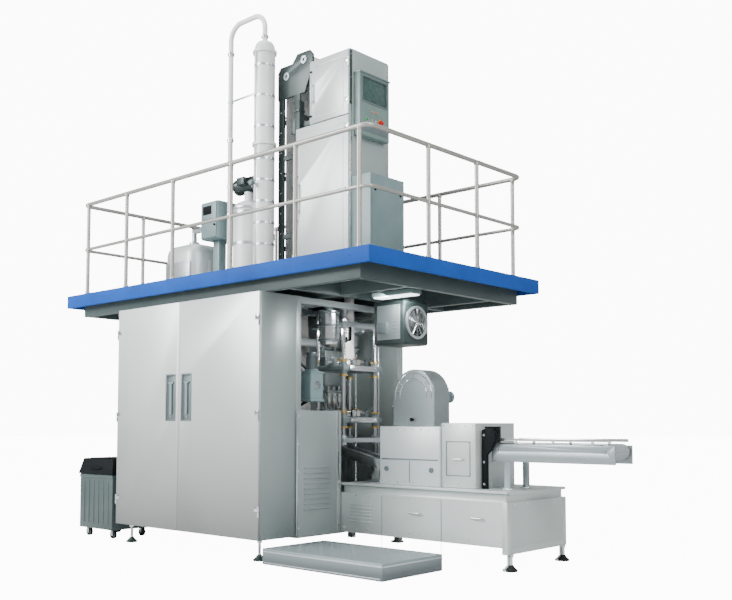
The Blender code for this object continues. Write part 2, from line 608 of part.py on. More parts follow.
def build_tube():
    """The filling pipe inside the tube, and the two forming rings on their stay."""
    top = 4.36
    line = [(TUBE_X, TUBE_Y, 2.15), (TUBE_X, TUBE_Y, top - 0.06)]
    for angle in (30, 60, 90):
        turn = math.radians(angle)
        line.append((TUBE_X, TUBE_Y + 0.06 - 0.06 * math.cos(turn), top - 0.06 + 0.06 * math.sin(turn)))
    line += [(TUBE_X, TUBE_Y + 0.20, top)]
    node("filling_pipe", [pipe(line, 0.019, 2)], "stainless")
    pieces = []
    for z, r in ((3.94, 0.085), (3.05, 0.066)):
        pieces.append(rod((TUBE_X, TUBE_Y, z), (TUBE_X, TUBE_Y, z + 0.03), r, 22))
        pieces.append(box((TUBE_X - 0.02, TUBE_X + 0.02), (TUBE_Y + 0.05, 0.29), (z + 0.001, z + 0.029)))
    back = TOWER_Y[1] - SHEET - 0.003
    pieces.append(box((TUBE_X - 0.021, TUBE_X + 0.021), (0.28, back), (3.05, 3.97)))
    hole = rod((TUBE_X, TUBE_Y, 2.9), (TUBE_X, TUBE_Y, 4.2), TUBE_R + 0.002, 22)
    node("forming_rings", pieces, "stainless", [hole])


# ---------------------------------------------------------------- jaw system
ROD_X = (TUBE_X - 0.20, TUBE_X + 0.135)
ROD_Y = (TUBE_Y - 0.22, TUBE_Y + 0.22)
ROD_R = 0.018
UPPER_JAW_Z, LOWER_JAW_Z = 1.735, 1.25


def build_jaw_frame():
    """Four guide rods between a head plate under the deck and a foot plate over the chute."""
    x = (ROD_X[0] - 0.05, ROD_X[1] + 0.05)
    y = (ROD_Y[0] - 0.05, ROD_Y[1] + 0.05)
    head = box(x, y, (2.06, 2.11))
    foot = box(x, y, (0.98, 1.02))
    rods = [rod((a, b, 1.0), (a, b, 2.08), ROD_R, 12) for a in ROD_X for b in ROD_Y]
    hangers = [box((a - 0.015, a + 0.015), (b - 0.02, b + 0.02), (2.10, 2.21)) for a in ROD_X for b in ROD_Y]
    rails = [
        box((BAY_X0 + FRAME_TUBE / 2 + 0.001, CAB_X[1] - FRAME_TUBE - 0.002), (b - 0.019, b + 0.019), (2.20, 2.245))
        for b in ROD_Y
    ]
    hole = rod((TUBE_X, TUBE_Y, 0.5), (TUBE_X, TUBE_Y, 2.5), 0.10, 18)
    node("jaw_guide_frame", [head, foot, *rods, *hangers, *rails], "stainless", [hole])


def build_jaw_pair(level, z):
    """A carriage on the guide rods, with a front and a rear sealing jaw that slide on it."""
    x = (ROD_X[0] - 0.045, ROD_X[1] + 0.045)
    y = (ROD_Y[0] - 0.045, ROD_Y[1] + 0.045)
    slab = box(x, y, (z - 0.085, z - 0.035))
    bosses = [rod((a, b, z - 0.12), (a, b, z), 0.034, 12) for a in ROD_X for b in ROD_Y]
    holes = [rod((a, b, z - 0.2), (a, b, z + 0.2), ROD_R + RUN, 12) for a in ROD_X for b in ROD_Y]
    throat = box((TUBE_X - 0.10, TUBE_X + 0.10), (TUBE_Y - 0.11, TUBE_Y + 0.11), (z - 0.2, z + 0.2))
    blocks = []
    for side in (TUBE_Y - 0.2225, TUBE_Y + 0.2225):
        blocks.append(box((TUBE_X - 0.045, TUBE_X + 0.045), (side - 0.0225, side + 0.0225), (z - 0.06, z + 0.035)))
    ram_bore = rod((TUBE_X, TUBE_Y - 0.3, z), (TUBE_X, TUBE_Y + 0.3, z), 0.014 + RUN, 14)
    node("jaw_carriage_" + level, [slab, *bosses, *blocks], "dark_steel", [throat, *holes, ram_bore])
    for side, way in (("front", -1), ("rear", 1)):
        near, far = TUBE_Y + way * 0.004, TUBE_Y + way * 0.05
        bar = box((TUBE_X - 0.10, TUBE_X + 0.10), sorted((near, far)), (z - 0.034 + GAP, z + 0.03))
        arm = box((TUBE_X - 0.065, TUBE_X + 0.065), sorted((far - way * 0.005, TUBE_Y + way * 0.14)), (z - 0.033 + GAP, z + 0.02))
        ram = rod((TUBE_X, TUBE_Y + way * 0.13, z), (TUBE_X, TUBE_Y + way * 0.24, z), 0.014, 14)
        node(f"jaw_{side}_{level}", [bar, arm, ram], "stainless")


def build_chute():
    """A sloping trough from under the jaws to the folder's infeed."""
    start, end = Vector((-0.10, 0.0, 0.86)), Vector((0.60, 0.0, 0.70))
    length = (end - start).length
    base = box((0.0, length), (-0.075, 0.075), (0.0, 0.006))
    walls = [box((0.0, length), (side - 0.004, side + 0.004), (0.0, 0.09)) for side in (-0.075, 0.075)]
    for piece in (base, *walls):
        piece.data.transform(Matrix.Rotation(math.atan2(start.z - end.z, end.x - start.x), 4, "Y"))
        piece.data.transform(Matrix.Translation((start.x, TUBE_Y, start.z)))
    leg = box((0.30, 0.34), (TUBE_Y - 0.03, TUBE_Y + 0.03), (TABLE_Z[1] + GAP, 0.764))
    node("package_chute", [base, *walls, leg], "stainless")


# ---------------------------------------------------------------- folding table and outfeed
def build_table():
    low = TABLE_Z[0]
    body, cavity = shell(TABLE_X, TABLE_Y, (low, 0.535), 0.02, "-Z")
    neck = box((TABLE_X[0] + 0.025, TABLE_X[1] - 0.025), (TABLE_Y[0] + 0.025, TABLE_Y[1] - 0.025), (0.53, 0.60))
    top = box(TABLE_X, TABLE_Y, (0.598, TABLE_Z[1]))
    pieces = [body, neck, top]
    # the outfeed end stands on a bar with two levelling feet
    x = TABLE_X[1] - 0.025
    pieces.append(box((x - 0.026, x + 0.026), (TABLE_Y[0] - 0.001, TABLE_Y[1] + 0.001), (low - 0.05, low + 0.01)))
    for y in (TABLE_Y[0] + 0.05, TABLE_Y[1] - 0.05):
        pieces.append(rod((x, y, 0.0), (x, y, 0.016), 0.05, 16))
        pieces.append(rod((x, y, 0.012), (x, y, 0.045), 0.042, 16, end_radius=0.018))
        pieces.append(rod((x, y, 0.03), (x, y, low - 0.04), 0.012, 12))
    for y in (TABLE_Y[0] - 0.0015, TABLE_Y[1] - 0.0485):
        pieces.append(box((x - 0.025, x + 0.0265), (y, y + 0.05), (low - 0.04, 0.534)))
    node("folding_table", pieces, "stainless", [cavity])


DRUM = (0.89, 1.40)              # x, z of the indexing drum's axis
DRUM_BACK_Y = 0.155              # front face of the plate behind the drum


def build_folder():
    x, y = (0.62, 1.29), (-0.20, 0.45)
    outer, cavity = shell(x, y, (TABLE_Z[1] + GAP, 1.13), 0.012, "-Z")
    infeed = box((0.5, 0.70), (TUBE_Y - 0.10, TUBE_Y + 0.10), (0.60, 0.90))
    well = box((0.72, 1.06), (TUBE_Y - 0.11, TUBE_Y + 0.07), (1.0, 1.2))
    node("folder_housing", [outer], "door_steel", [cavity, infeed, well])
    outer, cavity = shell((x[1] + GAP, 1.64), (-0.18, 0.40), (TABLE_Z[1] + GAP, 1.16), 0.012, "-Z")
    outfeed = box((1.60, 1.70), (CONV_Y[0], CONV_Y[1]), (CONV_TOP - 0.03, 1.13))
    node("discharge_box", [outer], "stainless", [cavity, outfeed])
    # the arched guard is open behind and below; it lifts about the top edge of the back plate
    bottom = 1.13 + GAP
    guard = plate(arch(0.235, bottom), (-0.06, DRUM_BACK_Y - GAP))
    room = plate(arch(0.222, bottom - 0.05), (-0.048, DRUM_BACK_Y + 0.02))
    knob = rod((DRUM[0], -0.055, 1.19), (DRUM[0], -0.095, 1.19), 0.016, 14)
    node("folder_guard", [guard, knob], "dark_steel", [room])
    axle_end = DRUM_BACK_Y + 0.06
    hub = rod((DRUM[0], 0.0, DRUM[1]), (DRUM[0], 0.14, DRUM[1]), 0.07, 16)
    pieces = [hub, rod((DRUM[0], -0.01, DRUM[1]), (DRUM[0], axle_end, DRUM[1]), 0.02, 16)]
    for index in range(8):
        blade = box((0.05, 0.20), (0.001, 0.139), (-0.007, 0.007))
        blade.data.transform(Matrix.Rotation(index * math.tau / 8, 4, "Y"))
        blade.data.transform(Matrix.Translation((DRUM[0], 0.0, DRUM[1])))
        pieces.append(blade)
    node("folder_drum", pieces, "stainless")
    back = plate(arch(0.225, bottom), (DRUM_BACK_Y, DRUM_BACK_Y + 0.012))
    gearbox = box((DRUM[0] - 0.06, DRUM[0] + 0.06), (DRUM_BACK_Y + 0.01, DRUM_BACK_Y + 0.14), (DRUM[1] - 0.07, DRUM[1] + 0.07))
    bracket = box((DRUM[0] - 0.055, DRUM[0] + 0.055), (DRUM_BACK_Y + 0.009, DRUM_BACK_Y + 0.13), (bottom, bottom + 0.02))
    motor = rod((DRUM[0], DRUM_BACK_Y + 0.13, DRUM[1]), (DRUM[0], DRUM_BACK_Y + 0.33, DRUM[1]), 0.055, 16)
    bearing = rod((DRUM[0], 0.0, DRUM[1]), (DRUM[0], axle_end + RUN, DRUM[1]), 0.02 + RUN, 16)
    node("drum_gearmotor", [back, gearbox, bracket, motor], "dark_steel", [bearing])


def arch(radius, bottom):
    """Outline of an arch over the drum, in x and z."""
    outline = [(DRUM[0] - radius, bottom)]
    outline += [(u, v) for u, _, v in arc(DRUM, radius, 180, 0, 14)]
    return outline + [(DRUM[0] + radius, bottom)]


def build_conveyor():
    y0, y1 = CONV_Y
    z0 = 0.845
    pieces = []
    axle_z = CONV_TOP - CONV_ROLLER_R - 0.006
    for y in (y0 - 0.022, y1 + 0.010):
        pieces.append(box((CONV_X[0] + 0.02, CONV_X[1]), (y, y + 0.012), (z0, CONV_TOP - 0.012)))
    for x in (1.90, 2.24, 2.58):
        pieces.append(box((x, x + 0.04), (y0 - 0.015, y1 + 0.015), (axle_z - 0.02, axle_z + 0.02)))
    leg_x = 1.84
    pieces.append(box((leg_x, leg_x + 0.06), (y0 - 0.0215, y0 - 0.0105), (TABLE_Z[1] + GAP, 0.90)))
    pieces.append(box((leg_x, leg_x + 0.06), (y1 + 0.0105, y1 + 0.0215), (TABLE_Z[1] + GAP, 0.90)))
    axles = [
        rod((x, y0 - 0.1, axle_z), (x, y1 + 0.1, axle_z), 0.013, 14)
        for x in (CONV_X[0] + 0.085, CONV_X[1] - 0.075)
    ]
    node("conveyor_frame", pieces, "stainless", axles)
    ends = (CONV_X[0] + 0.085, CONV_X[1] - 0.075)
    loop = conveyor_outline(ends, axle_z, CONV_ROLLER_R + 0.006)
    inside = conveyor_outline(ends, axle_z, CONV_ROLLER_R + 0.001)
    belt = plate(loop, (y0, y1))
    room = plate(inside, (y0 - 0.05, y1 + 0.05))
    node("conveyor_belt", [belt], "belt", [room])
    for name, x in (("conveyor_tail_roller", ends[0]), ("conveyor_drive_roller", ends[1])):
        drum = rod((x, y0 + 0.003, axle_z), (x, y1 - 0.003, axle_z), CONV_ROLLER_R, 18)
        axle = rod((x, y0 - 0.020, axle_z), (x, y1 + 0.020, axle_z), 0.012, 14)
        node(name, [drum, axle], "dark_steel")
    # a black curved guide stands at the turn from the discharge box on to the belt
    outline = [(1.652, TABLE_Z[1] + GAP), (1.70, TABLE_Z[1] + GAP), (1.70, 0.90), (1.745, 0.94), (1.79, 1.03)]
    outline += [(1.78, 1.08), (1.745, 1.115), (1.70, 1.12), (1.652, 1.10)]
    node("transfer_guide", [plate(outline, (y0 - 0.07, y0 - 0.035))], "black_plastic")


def conveyor_outline(ends, z, radius):
    outline = [(u, v) for u, _, v in arc((ends[1], z), radius, 90, -90, 10)]
    return outline + [(u, v) for u, _, v in arc((ends[0], z), radius, -90, -270, 10)]


# ---------------------------------------------------------------- loose accessories
def build_step():
    outer, cavity = shell((0.27, 1.58), (-1.27, -0.55), (0.0, 0.13), 0.006, "-Z")
    node("step_platform", [outer], "deck_plate", [cavity])


def build_service_unit():
    """A service water unit on castors beside the cabinet, under the deck's left end."""
    x, y = (-2.66, -2.06), (-1.20, -0.72)
    outer, cavity = shell(x, y, (0.09, 0.64), 0.012, "+Z")
    pieces = [outer]
    for cx in (x[0] + 0.08, x[1] - 0.08):
        for cy in (y[0] + 0.07, y[1] - 0.07):
            pieces.append(rod((cx, cy - 0.016, 0.042), (cx, cy + 0.016, 0.042), 0.042, 16))
            pieces.append(box((cx - 0.02, cx + 0.02), (cy - 0.012, cy + 0.012), (0.05, 0.10)))
    node("service_unit", pieces, "teal_paint", [cavity])
    # the lid is a shallow cap with sloping sides
    bm = bmesh.new()
    bmesh.ops.create_cube(bm, size=1.0)
    for vert in bm.verts:
        share = 0.86 if vert.co.z > 0 else 1.0
        vert.co.x *= (x[1] - x[0] + 0.04) * share
        vert.co.y *= (y[1] - y[0] + 0.04) * share
        vert.co.z *= 0.16
    bmesh.ops.translate(bm, verts=bm.verts, vec=((x[0] + x[1]) / 2, (y[0] + y[1]) / 2, 0.64 + GAP + 0.08))
    mesh = bpy.data.meshes.new("lid")
    bm.to_mesh(mesh)
    bm.free()
    lid = link(mesh, "lid")
    room = box((x[0] + 0.05, x[1] - 0.05), (y[0] + 0.05, y[1] - 0.05), (0.6, 0.78))
    node("service_unit_lid", [lid], "black_plastic", [room])


def build_fan_unit():
    """The exhaust fan hung under the deck beside the jaw bay."""
    x, y, z = (0.50, 0.86), (-0.15, 0.20), (1.86, DECK_TOP - 0.035 - GAP)
    frame = box(x, y, (z[0], 2.26))
    hanger = box((0.62, 0.74), (-0.03, 0.09), (2.24, z[1]))
    mouth = rod((x[1] - 0.09, 0.025, 2.06), (x[1] + 0.05, 0.025, 2.06), 0.13, 22)
    node("exhaust_fan", [frame, hanger], "dark_steel", [mouth])


# ---------------------------------------------------------------- assembly
clear_scene()
machine = bpy.data.collections.new("vertical_form_fill_sealer")
bpy.context.scene.collection.children.link(machine)

build_main_frame()
build_electrical_cabinet()
build_component_panel()
build_body_panels()
build_foot("levelling_foot_left", CAB_X[0] + 0.12, CAB_Y[0] + 0.08, CAB_Z[0])
build_foot("levelling_foot_right", CAB_X[1] - 0.10, CAB_Y[0] + 0.08, CAB_Z[0])
build_deck()
build_guard_rail()
build_gate_and_ladder()
build_tower()
build_control_panel()
build_valve_cabinet()
build_web_guide()
build_rollers()
build_air_line()
build_reel()
build_web()
build_tube()
build_jaw_frame()
build_jaw_pair("upper", UPPER_JAW_Z)
build_jaw_pair("lower", LOWER_JAW_Z)
build_chute()
build_table()
build_folder()
build_conveyor()
build_step()
build_service_unit()
build_fan_unit()
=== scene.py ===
"""Looks of the vertical form fill sealer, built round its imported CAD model.

Metres, +Z up, the same frame as the CAD: the origin is on the floor at the footprint's middle, +X points to
the outfeed, and -Y faces the operator. Boxes come from the CAD nodes. Every extra piece rides on a CAD body."""

import json
import math
from itertools import product

import bmesh
import bpy
from mathutils import Matrix, Vector


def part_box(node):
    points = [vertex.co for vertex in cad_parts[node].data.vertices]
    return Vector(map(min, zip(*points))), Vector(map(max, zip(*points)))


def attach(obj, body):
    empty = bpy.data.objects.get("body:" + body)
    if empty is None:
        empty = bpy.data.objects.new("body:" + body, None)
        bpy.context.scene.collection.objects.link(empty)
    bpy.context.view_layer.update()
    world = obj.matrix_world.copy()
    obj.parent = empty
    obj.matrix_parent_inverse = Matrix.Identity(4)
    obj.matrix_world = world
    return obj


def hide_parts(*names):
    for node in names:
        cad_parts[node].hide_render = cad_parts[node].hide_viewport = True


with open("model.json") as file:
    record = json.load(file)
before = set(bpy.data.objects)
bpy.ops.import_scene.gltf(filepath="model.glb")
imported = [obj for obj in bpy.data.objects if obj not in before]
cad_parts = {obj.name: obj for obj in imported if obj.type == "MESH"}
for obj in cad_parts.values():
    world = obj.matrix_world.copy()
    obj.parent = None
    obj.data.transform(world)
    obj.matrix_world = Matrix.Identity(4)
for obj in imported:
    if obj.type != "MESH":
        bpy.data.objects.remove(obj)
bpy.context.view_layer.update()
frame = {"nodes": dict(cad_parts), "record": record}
NODES = frame["nodes"]
SLOT_OF = {entry["node"]: entry["material_slot"] for entry in frame["record"]["subparts"]}
BODY_OF = {node: body for body, members in frame["record"]["behaviour"]["bodies"].items() for node in members}
UP = (0, 0, 1)
FRONT, REAR = (0, -1, 0), (0, 1, 0)
LEFT, RIGHT = (-1, 0, 0), (1, 0, 0)
MIDDLE_Y = 0.07                                 # the carton tube, the jaws and the folder share this plane
TUBE_X = -0.01
WEB_ROLLERS = ((-0.68, 4.66), (-0.43, 4.77))    # (x, z) of the outer and the inner one
FLOOR_WHITE, BACKDROP_WHITE = 15.0, 14.0        # how bright the studio's floor and backdrop look
WORLD_STRENGTH = 0.55


# ---------------------------------------------------------------- camera
def make_camera():
    data = bpy.data.cameras.new("camera")
    camera = bpy.data.objects.new("camera", data)
    bpy.context.scene.collection.objects.link(camera)
    azimuth, pitch = math.radians(42.14), math.radians(3.5)
    camera.location = (6.0875, -6.4269, 1.1469)
    camera.rotation_euler = (math.pi / 2 + pitch, 0.0, azimuth)
    data.sensor_width = 36.0
    data.lens = 45.68
    data.shift_y = 0.0925
    data.clip_end = 200.0
    bpy.context.scene.camera = camera


make_camera()


# ---------------------------------------------------------------- materials
def new_material(name, colour, roughness, metallic=0.0):
    """A Principled material with its constants on the shader's own sockets."""
    made = bpy.data.materials.new(name)
    made.use_nodes = True
    shader = made.node_tree.nodes["Principled BSDF"]
    shader.inputs["Base Color"].default_value = (*colour, 1.0)
    shader.inputs["Roughness"].default_value = roughness
    shader.inputs["Metallic"].default_value = metallic
    return made, shader


class Graph:
    """Short names for the nodes that the materials and the world share."""

    def __init__(self, tree):
        self.tree = tree

    def link(self, a, b):
        self.tree.links.new(a, b)

    def node(self, kind, **sockets):
        """Adds a node. Each socket, written with _ for a space, gets a constant or another node's output."""
        made = self.tree.nodes.new("ShaderNode" + kind)
        for name, value in sockets.items():
            self.feed(made.inputs[name.replace("_", " ")], value)
        return made

    def feed(self, socket, value):
        if isinstance(value, bpy.types.NodeSocket):
            self.link(value, socket)
        else:
            socket.default_value = value


class Surface(Graph):
    """A material's graph, with textures placed in metres on the object."""

    def __init__(self, material):
        super().__init__(material.node_tree)
        self.place = self.node("TexCoord").outputs["Object"]

    def stretched(self, scale):
        return self.node("Mapping", Scale=scale, Vector=self.place).outputs["Vector"]

    def noise(self, scale, detail=3.0, vector=None, roughness=0.5):
        vector = vector or self.place
        return self.node("TexNoise", Scale=scale, Detail=detail, Roughness=roughness, Vector=vector).outputs["Fac"]

    def cells(self, scale):
        return self.node("TexVoronoi", Scale=scale, Vector=self.place).outputs["Distance"]

    def spread(self, value, low, high, start=0.0, end=1.0):
        """Takes start..end to low..high."""
        made = self.node("MapRange", Value=value, From_Min=start, From_Max=end, To_Min=low, To_Max=high)
        return made.outputs["Result"]

    def mix(self, factor, a, b):
        made = self.node("Mix")
        made.data_type = "RGBA"
        for index, value in ((0, factor), (6, a), (7, b)):
            self.feed(made.inputs[index], (*value, 1.0) if isinstance(value, tuple) else value)
        return made.outputs[2]

    def height(self):
        return self.node("SeparateXYZ", Vector=self.place).outputs["Z"]

    def maths(self, a, b, operation="ADD"):
        made = self.node("Math")
        made.operation = operation
        self.feed(made.inputs[0], a)
        self.feed(made.inputs[1], b)
        return made.outputs["Value"]

    def bump(self, shader, value, strength, distance):
        made = self.node("Bump", Strength=strength, Distance=distance, Height=value)
        self.link(made.outputs["Normal"], shader.inputs["Normal"])


def shade(colour, factor):
    return tuple(min(1.0, channel * factor) for channel in colour)


ALONG_Z = (90.0, 90.0, 2.0)
ALL_WAYS = (60.0, 60.0, 60.0)


def brushed(name, colour, roughness=0.34, metallic=0.75, grain=ALONG_Z, painted_foot_shade=None):
    """Brushed sheet steel: fine grain along one direction, and soft cloudy marks. The last argument is (low z,
    high z, share at the low end): painted shade darkens the sheet towards its foot, standing in for the fall of
    light on it."""
    made, shader = new_material(name, colour, roughness, metallic)
    graph = Surface(made)
    fine = graph.noise(8.0, 4.0, graph.stretched(grain), 0.7)
    cloud = graph.noise(1.3, 3.0)
    tint = graph.mix(graph.spread(cloud, 0.0, 1.0, 0.3, 0.7), shade(colour, 0.90), shade(colour, 1.07))
    lines = graph.mix(graph.spread(fine, 0.0, 1.0, 0.25, 0.75), shade(colour, 0.86), tint)
    if painted_foot_shade:
        # painted shade: the colour darkens towards the foot, where the light falls off, not from wear
        level = graph.spread(graph.height(), 0.0, 1.0, painted_foot_shade[0], painted_foot_shade[1])
        shaded_foot = graph.mix(graph.spread(fine, 0.0, 1.0), shade(colour, painted_foot_shade[2] * 0.93), shade(colour, painted_foot_shade[2]))
        lines = graph.mix(level, shaded_foot, lines)
    graph.link(lines, shader.inputs["Base Color"])
    rough = graph.maths(graph.spread(fine, -0.07, 0.07), graph.spread(cloud, roughness - 0.05, roughness + 0.07))
    graph.link(rough, shader.inputs["Roughness"])
    graph.bump(shader, fine, 0.12, 0.0006)
    return made


def painted(name, colour, roughness=0.4, metallic=0.0, worn=None, coat=0.25):
    """Sprayed paint: fine orange peel, slight unevenness, and scattered rubbed marks."""
    made, shader = new_material(name, colour, roughness, metallic)
    shader.inputs["Coat Weight"].default_value = coat
    shader.inputs["Specular IOR Level"].default_value = 0.5 if coat else 0.2
    shader.inputs["Coat Roughness"].default_value = 0.3
    graph = Surface(made)
    cloud = graph.noise(2.2, 4.0)
    base = graph.mix(graph.spread(cloud, 0.0, 1.0, 0.3, 0.7), shade(colour, 0.82), shade(colour, 1.14))
    scuff = graph.spread(graph.noise(26.0, 6.0, None, 0.75), 0.0, 0.55, 0.60, 0.74)
    graph.link(graph.mix(scuff, base, worn or shade(colour, 1.5)), shader.inputs["Base Color"])
    graph.link(graph.spread(cloud, roughness - 0.06, roughness + 0.1), shader.inputs["Roughness"])
    graph.bump(shader, graph.noise(260.0, 2.0), 0.08, 0.0008)
    return made


def moulded(name, colour, roughness=0.5, glow=0.0):
    """Moulded plastic or rubber: a fine pebbled grain and slight dust. glow lights a lamp's diffuser."""
    made, shader = new_material(name, colour, roughness)
    shader.inputs["Specular IOR Level"].default_value = 0.1
    shader.inputs["Emission Color"].default_value = (*colour, 1.0)
    shader.inputs["Emission Strength"].default_value = glow
    graph = Surface(made)
    dust = graph.spread(graph.noise(5.0, 5.0), 0.0, 0.5, 0.45, 0.75)
    graph.link(graph.mix(dust, colour, shade(colour, 2.0)), shader.inputs["Base Color"])
    graph.link(graph.spread(dust, roughness, min(1.0, roughness + 0.2), 0.0, 0.5), shader.inputs["Roughness"])
    graph.bump(shader, graph.cells(420.0), 0.15, 0.0006)
    return made


def smoked(name, tint):
    """Tinted clear plastic, slightly hazed where it is wiped."""
    made, shader = new_material(name, tint, 0.06)
    shader.inputs["Transmission Weight"].default_value = 0.92
    graph = Surface(made)
    graph.link(graph.spread(graph.noise(3.0, 4.0), 0.04, 0.16, 0.35, 0.7), shader.inputs["Roughness"])
    return made


def board(name):
    """Coated paperboard on a reel: faint fibres across and thin wound layers."""
    made, shader = new_material(name, (0.86, 0.86, 0.84), 0.45)
    graph = Surface(made)
    fibre = graph.noise(14.0, 6.0, graph.stretched((60.0, 4.0, 60.0)), 0.8)
    graph.link(graph.mix(fibre, (0.76, 0.75, 0.72), (0.90, 0.90, 0.88)), shader.inputs["Base Color"])
    graph.link(graph.spread(fibre, 0.36, 0.55), shader.inputs["Roughness"])
    graph.bump(shader, fibre, 0.1, 0.0005)
    return made


def woven(name, colour):
    """A conveyor belt's ribbed weave."""
    made, shader = new_material(name, colour, 0.6)
    graph = Surface(made)
    waves = [graph.node("TexWave", Scale=60.0, Vector=graph.place) for _ in "XY"]
    for wave, direction in zip(waves, "XY"):
        wave.bands_direction = direction
    weave = graph.maths(waves[0].outputs["Fac"], waves[1].outputs["Fac"], "MULTIPLY")
    patch = graph.noise(4.0, 4.0)
    base = graph.mix(graph.spread(patch, 0.0, 1.0, 0.3, 0.7), shade(colour, 0.85), shade(colour, 1.15))
    graph.link(graph.mix(weave, shade(colour, 0.7), base), shader.inputs["Base Color"])
    graph.link(graph.spread(patch, 0.5, 0.7), shader.inputs["Roughness"])
    graph.bump(shader, weave, 0.3, 0.0008)
    return made


def screen(name):
    """A dark display with a faint grid of readings."""
    made, shader = new_material(name, (0.04, 0.075, 0.07), 0.12)
    graph = Surface(made)
    upright = graph.node("Mapping", Rotation=(0.0, math.pi / 2, math.pi / 2), Vector=graph.place)
    cells = graph.node(
        "TexBrick", Scale=22.0, Vector=upright.outputs["Vector"], Color1=(0.045, 0.085, 0.08, 1.0),
        Color2=(0.065, 0.135, 0.125, 1.0), Mortar=(0.03, 0.05, 0.047, 1.0))
    graph.link(cells.outputs["Color"], shader.inputs["Base Color"])
    graph.link(graph.spread(graph.noise(30.0, 3.0), 0.08, 0.22), shader.inputs["Roughness"])
    return made


MAT = {
    # door and panel sheets take painted shade towards their foot: the last tuple gives its heights and darkest
    # share
    "door": brushed("door_sheet", (0.93, 0.97, 0.96), 0.40, 0.30, ALONG_Z, (0.0, 2.2, 0.17)),
    "panel": brushed("panel_sheet", (0.50, 0.58, 0.57), 0.38, 0.45, ALONG_Z, (0.1, 2.3, 0.55)),
    "table": brushed("table_sheet", (0.64, 0.70, 0.68), 0.38, 0.40, (2.0, 90.0, 90.0)),
    "tower": brushed("tower_sheet", (0.70, 0.75, 0.75), 0.40, 0.30),
    "steel": brushed("machined_steel", (0.62, 0.68, 0.70), 0.30, 0.75, ALL_WAYS),
    "bright": brushed("bright_steel", (0.78, 0.80, 0.80), 0.16, 0.95, (60.0, 60.0, 8.0)),
    "rail": brushed("rail_tube", (0.44, 0.43, 0.40), 0.34, 0.5, ALL_WAYS),
    "white": painted("white_enamel", (0.88, 0.91, 0.90), 0.35, 0.0, (0.70, 0.73, 0.72)),
    "pale": painted("pale_grey_paint", (0.17, 0.25, 0.23), 0.45),
    "blue": painted("blue_edge_paint", (0.006, 0.075, 0.37), 0.65, 0.0, (0.02, 0.11, 0.43), 0.0),
    "teal": painted("teal_grey_paint", (0.20, 0.29, 0.30), 0.42),
    "unit": painted("dark_teal_paint", (0.055, 0.082, 0.082), 0.5, 0.0, (0.10, 0.13, 0.13)),
    "dark": painted("dark_green_grey", (0.032, 0.052, 0.050), 0.42, 0.3),
    "mid": painted("machine_grey", (0.16, 0.20, 0.21), 0.42, 0.4),
    # painted shade: the deck frame's paint is darkened to stand for the shadow in the recess under the blue band
    "shaded_beam": painted("deck_beam_painted_shade", (0.060, 0.088, 0.088), 0.45, 0.2),
    "under": painted("deck_underside", (0.14, 0.18, 0.18), 0.5, 0.2),
    # painted shade darkens the step's front below 0.13 m
    "tread": brushed("tread_plate", (0.32, 0.38, 0.40), 0.45, 0.4, (30.0, 30.0, 30.0), (0.04, 0.13, 0.45)),
    "black": moulded("black_moulding", (0.006, 0.008, 0.009), 0.6),
    "rubber": moulded("rubber_sole", (0.02, 0.022, 0.022), 0.7),
    "red": moulded("red_button", (0.55, 0.015, 0.012), 0.3),
    "green": moulded("green_button", (0.02, 0.35, 0.07), 0.3),
    "amber": moulded("amber_lens", (0.75, 0.28, 0.02), 0.25),
    "clear": moulded("pale_diffuser", (0.82, 0.86, 0.88), 0.3),
    "lamp": moulded("lit_diffuser", (0.86, 0.90, 0.93), 0.3, 4.0),
    "brass": brushed("brass_fitting", (0.60, 0.42, 0.16), 0.3, 0.9, ALL_WAYS),
    "board": board("coated_board"),
    "belt": woven("belt_weave", (0.42, 0.46, 0.47)),
    "screen": screen("display"),
    "smoked": smoked("smoked_window", (0.16, 0.19, 0.19)),
    "guard": brushed("guard_sheet", (0.36, 0.41, 0.42), 0.34, 0.6, ALL_WAYS),
}


# ---------------------------------------------------------------- mesh building
def near(middle, reach):
    """A stretch that reaches equally far to both sides of its middle."""
    return middle - reach, middle + reach


def steps_between(low, high, count):
    return [low + (high - low) * index / (count - 1) for index in range(count)]


def turns(count, start=0.0):
    """Angles spaced evenly round a circle."""
    return [start + math.tau * step / count for step in range(count)]


def circle(radius, angles, middle=(0.0, 0.0)):
    return [(middle[0] + radius * math.cos(angle), middle[1] + radius * math.sin(angle)) for angle in angles]


def arc(centre, radius, start, end, steps):
    """(u, v) points on an arc, in degrees."""
    return circle(radius, [math.radians(angle) for angle in steps_between(start, end, steps + 1)], centre)


def rounded(points, radius, steps=5):
    """An open path whose corners are rounded by short curves."""
    points = [Vector(point) for point in points]
    path = [points[0]]
    for before, here, after in zip(points, points[1:], points[2:]):
        reach = min(radius, (before - here).length * 0.45, (after - here).length * 0.45)
        start = here + (before - here).normalized() * reach
        end = here + (after - here).normalized() * reach
        for step in range(steps + 1):
            t = step / steps
            path.append(start * (1 - t) ** 2 + here * (2 * t * (1 - t)) + end * t * t)
    return path + [points[-1]]


def span(node):
    """A node's box as ((x0, x1), (y0, y1), (z0, z1))."""
    low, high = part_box(node)
    return tuple((low[i], high[i]) for i in range(3))


def middle_of(stretch):
    return (stretch[0] + stretch[1]) / 2


def show(name, mesh, material, body, angle):
    """Smooths a mesh except at its sharp edges, and makes it a visible piece that rides on a body."""
    mesh.shade_smooth()
    mesh.set_sharp_from_angle(angle=math.radians(angle))
    mesh.materials.clear()
    mesh.materials.append(MAT[material])
    obj = bpy.data.objects.new(name, mesh)
    bpy.context.scene.collection.objects.link(obj)
    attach(obj, body)
    return obj


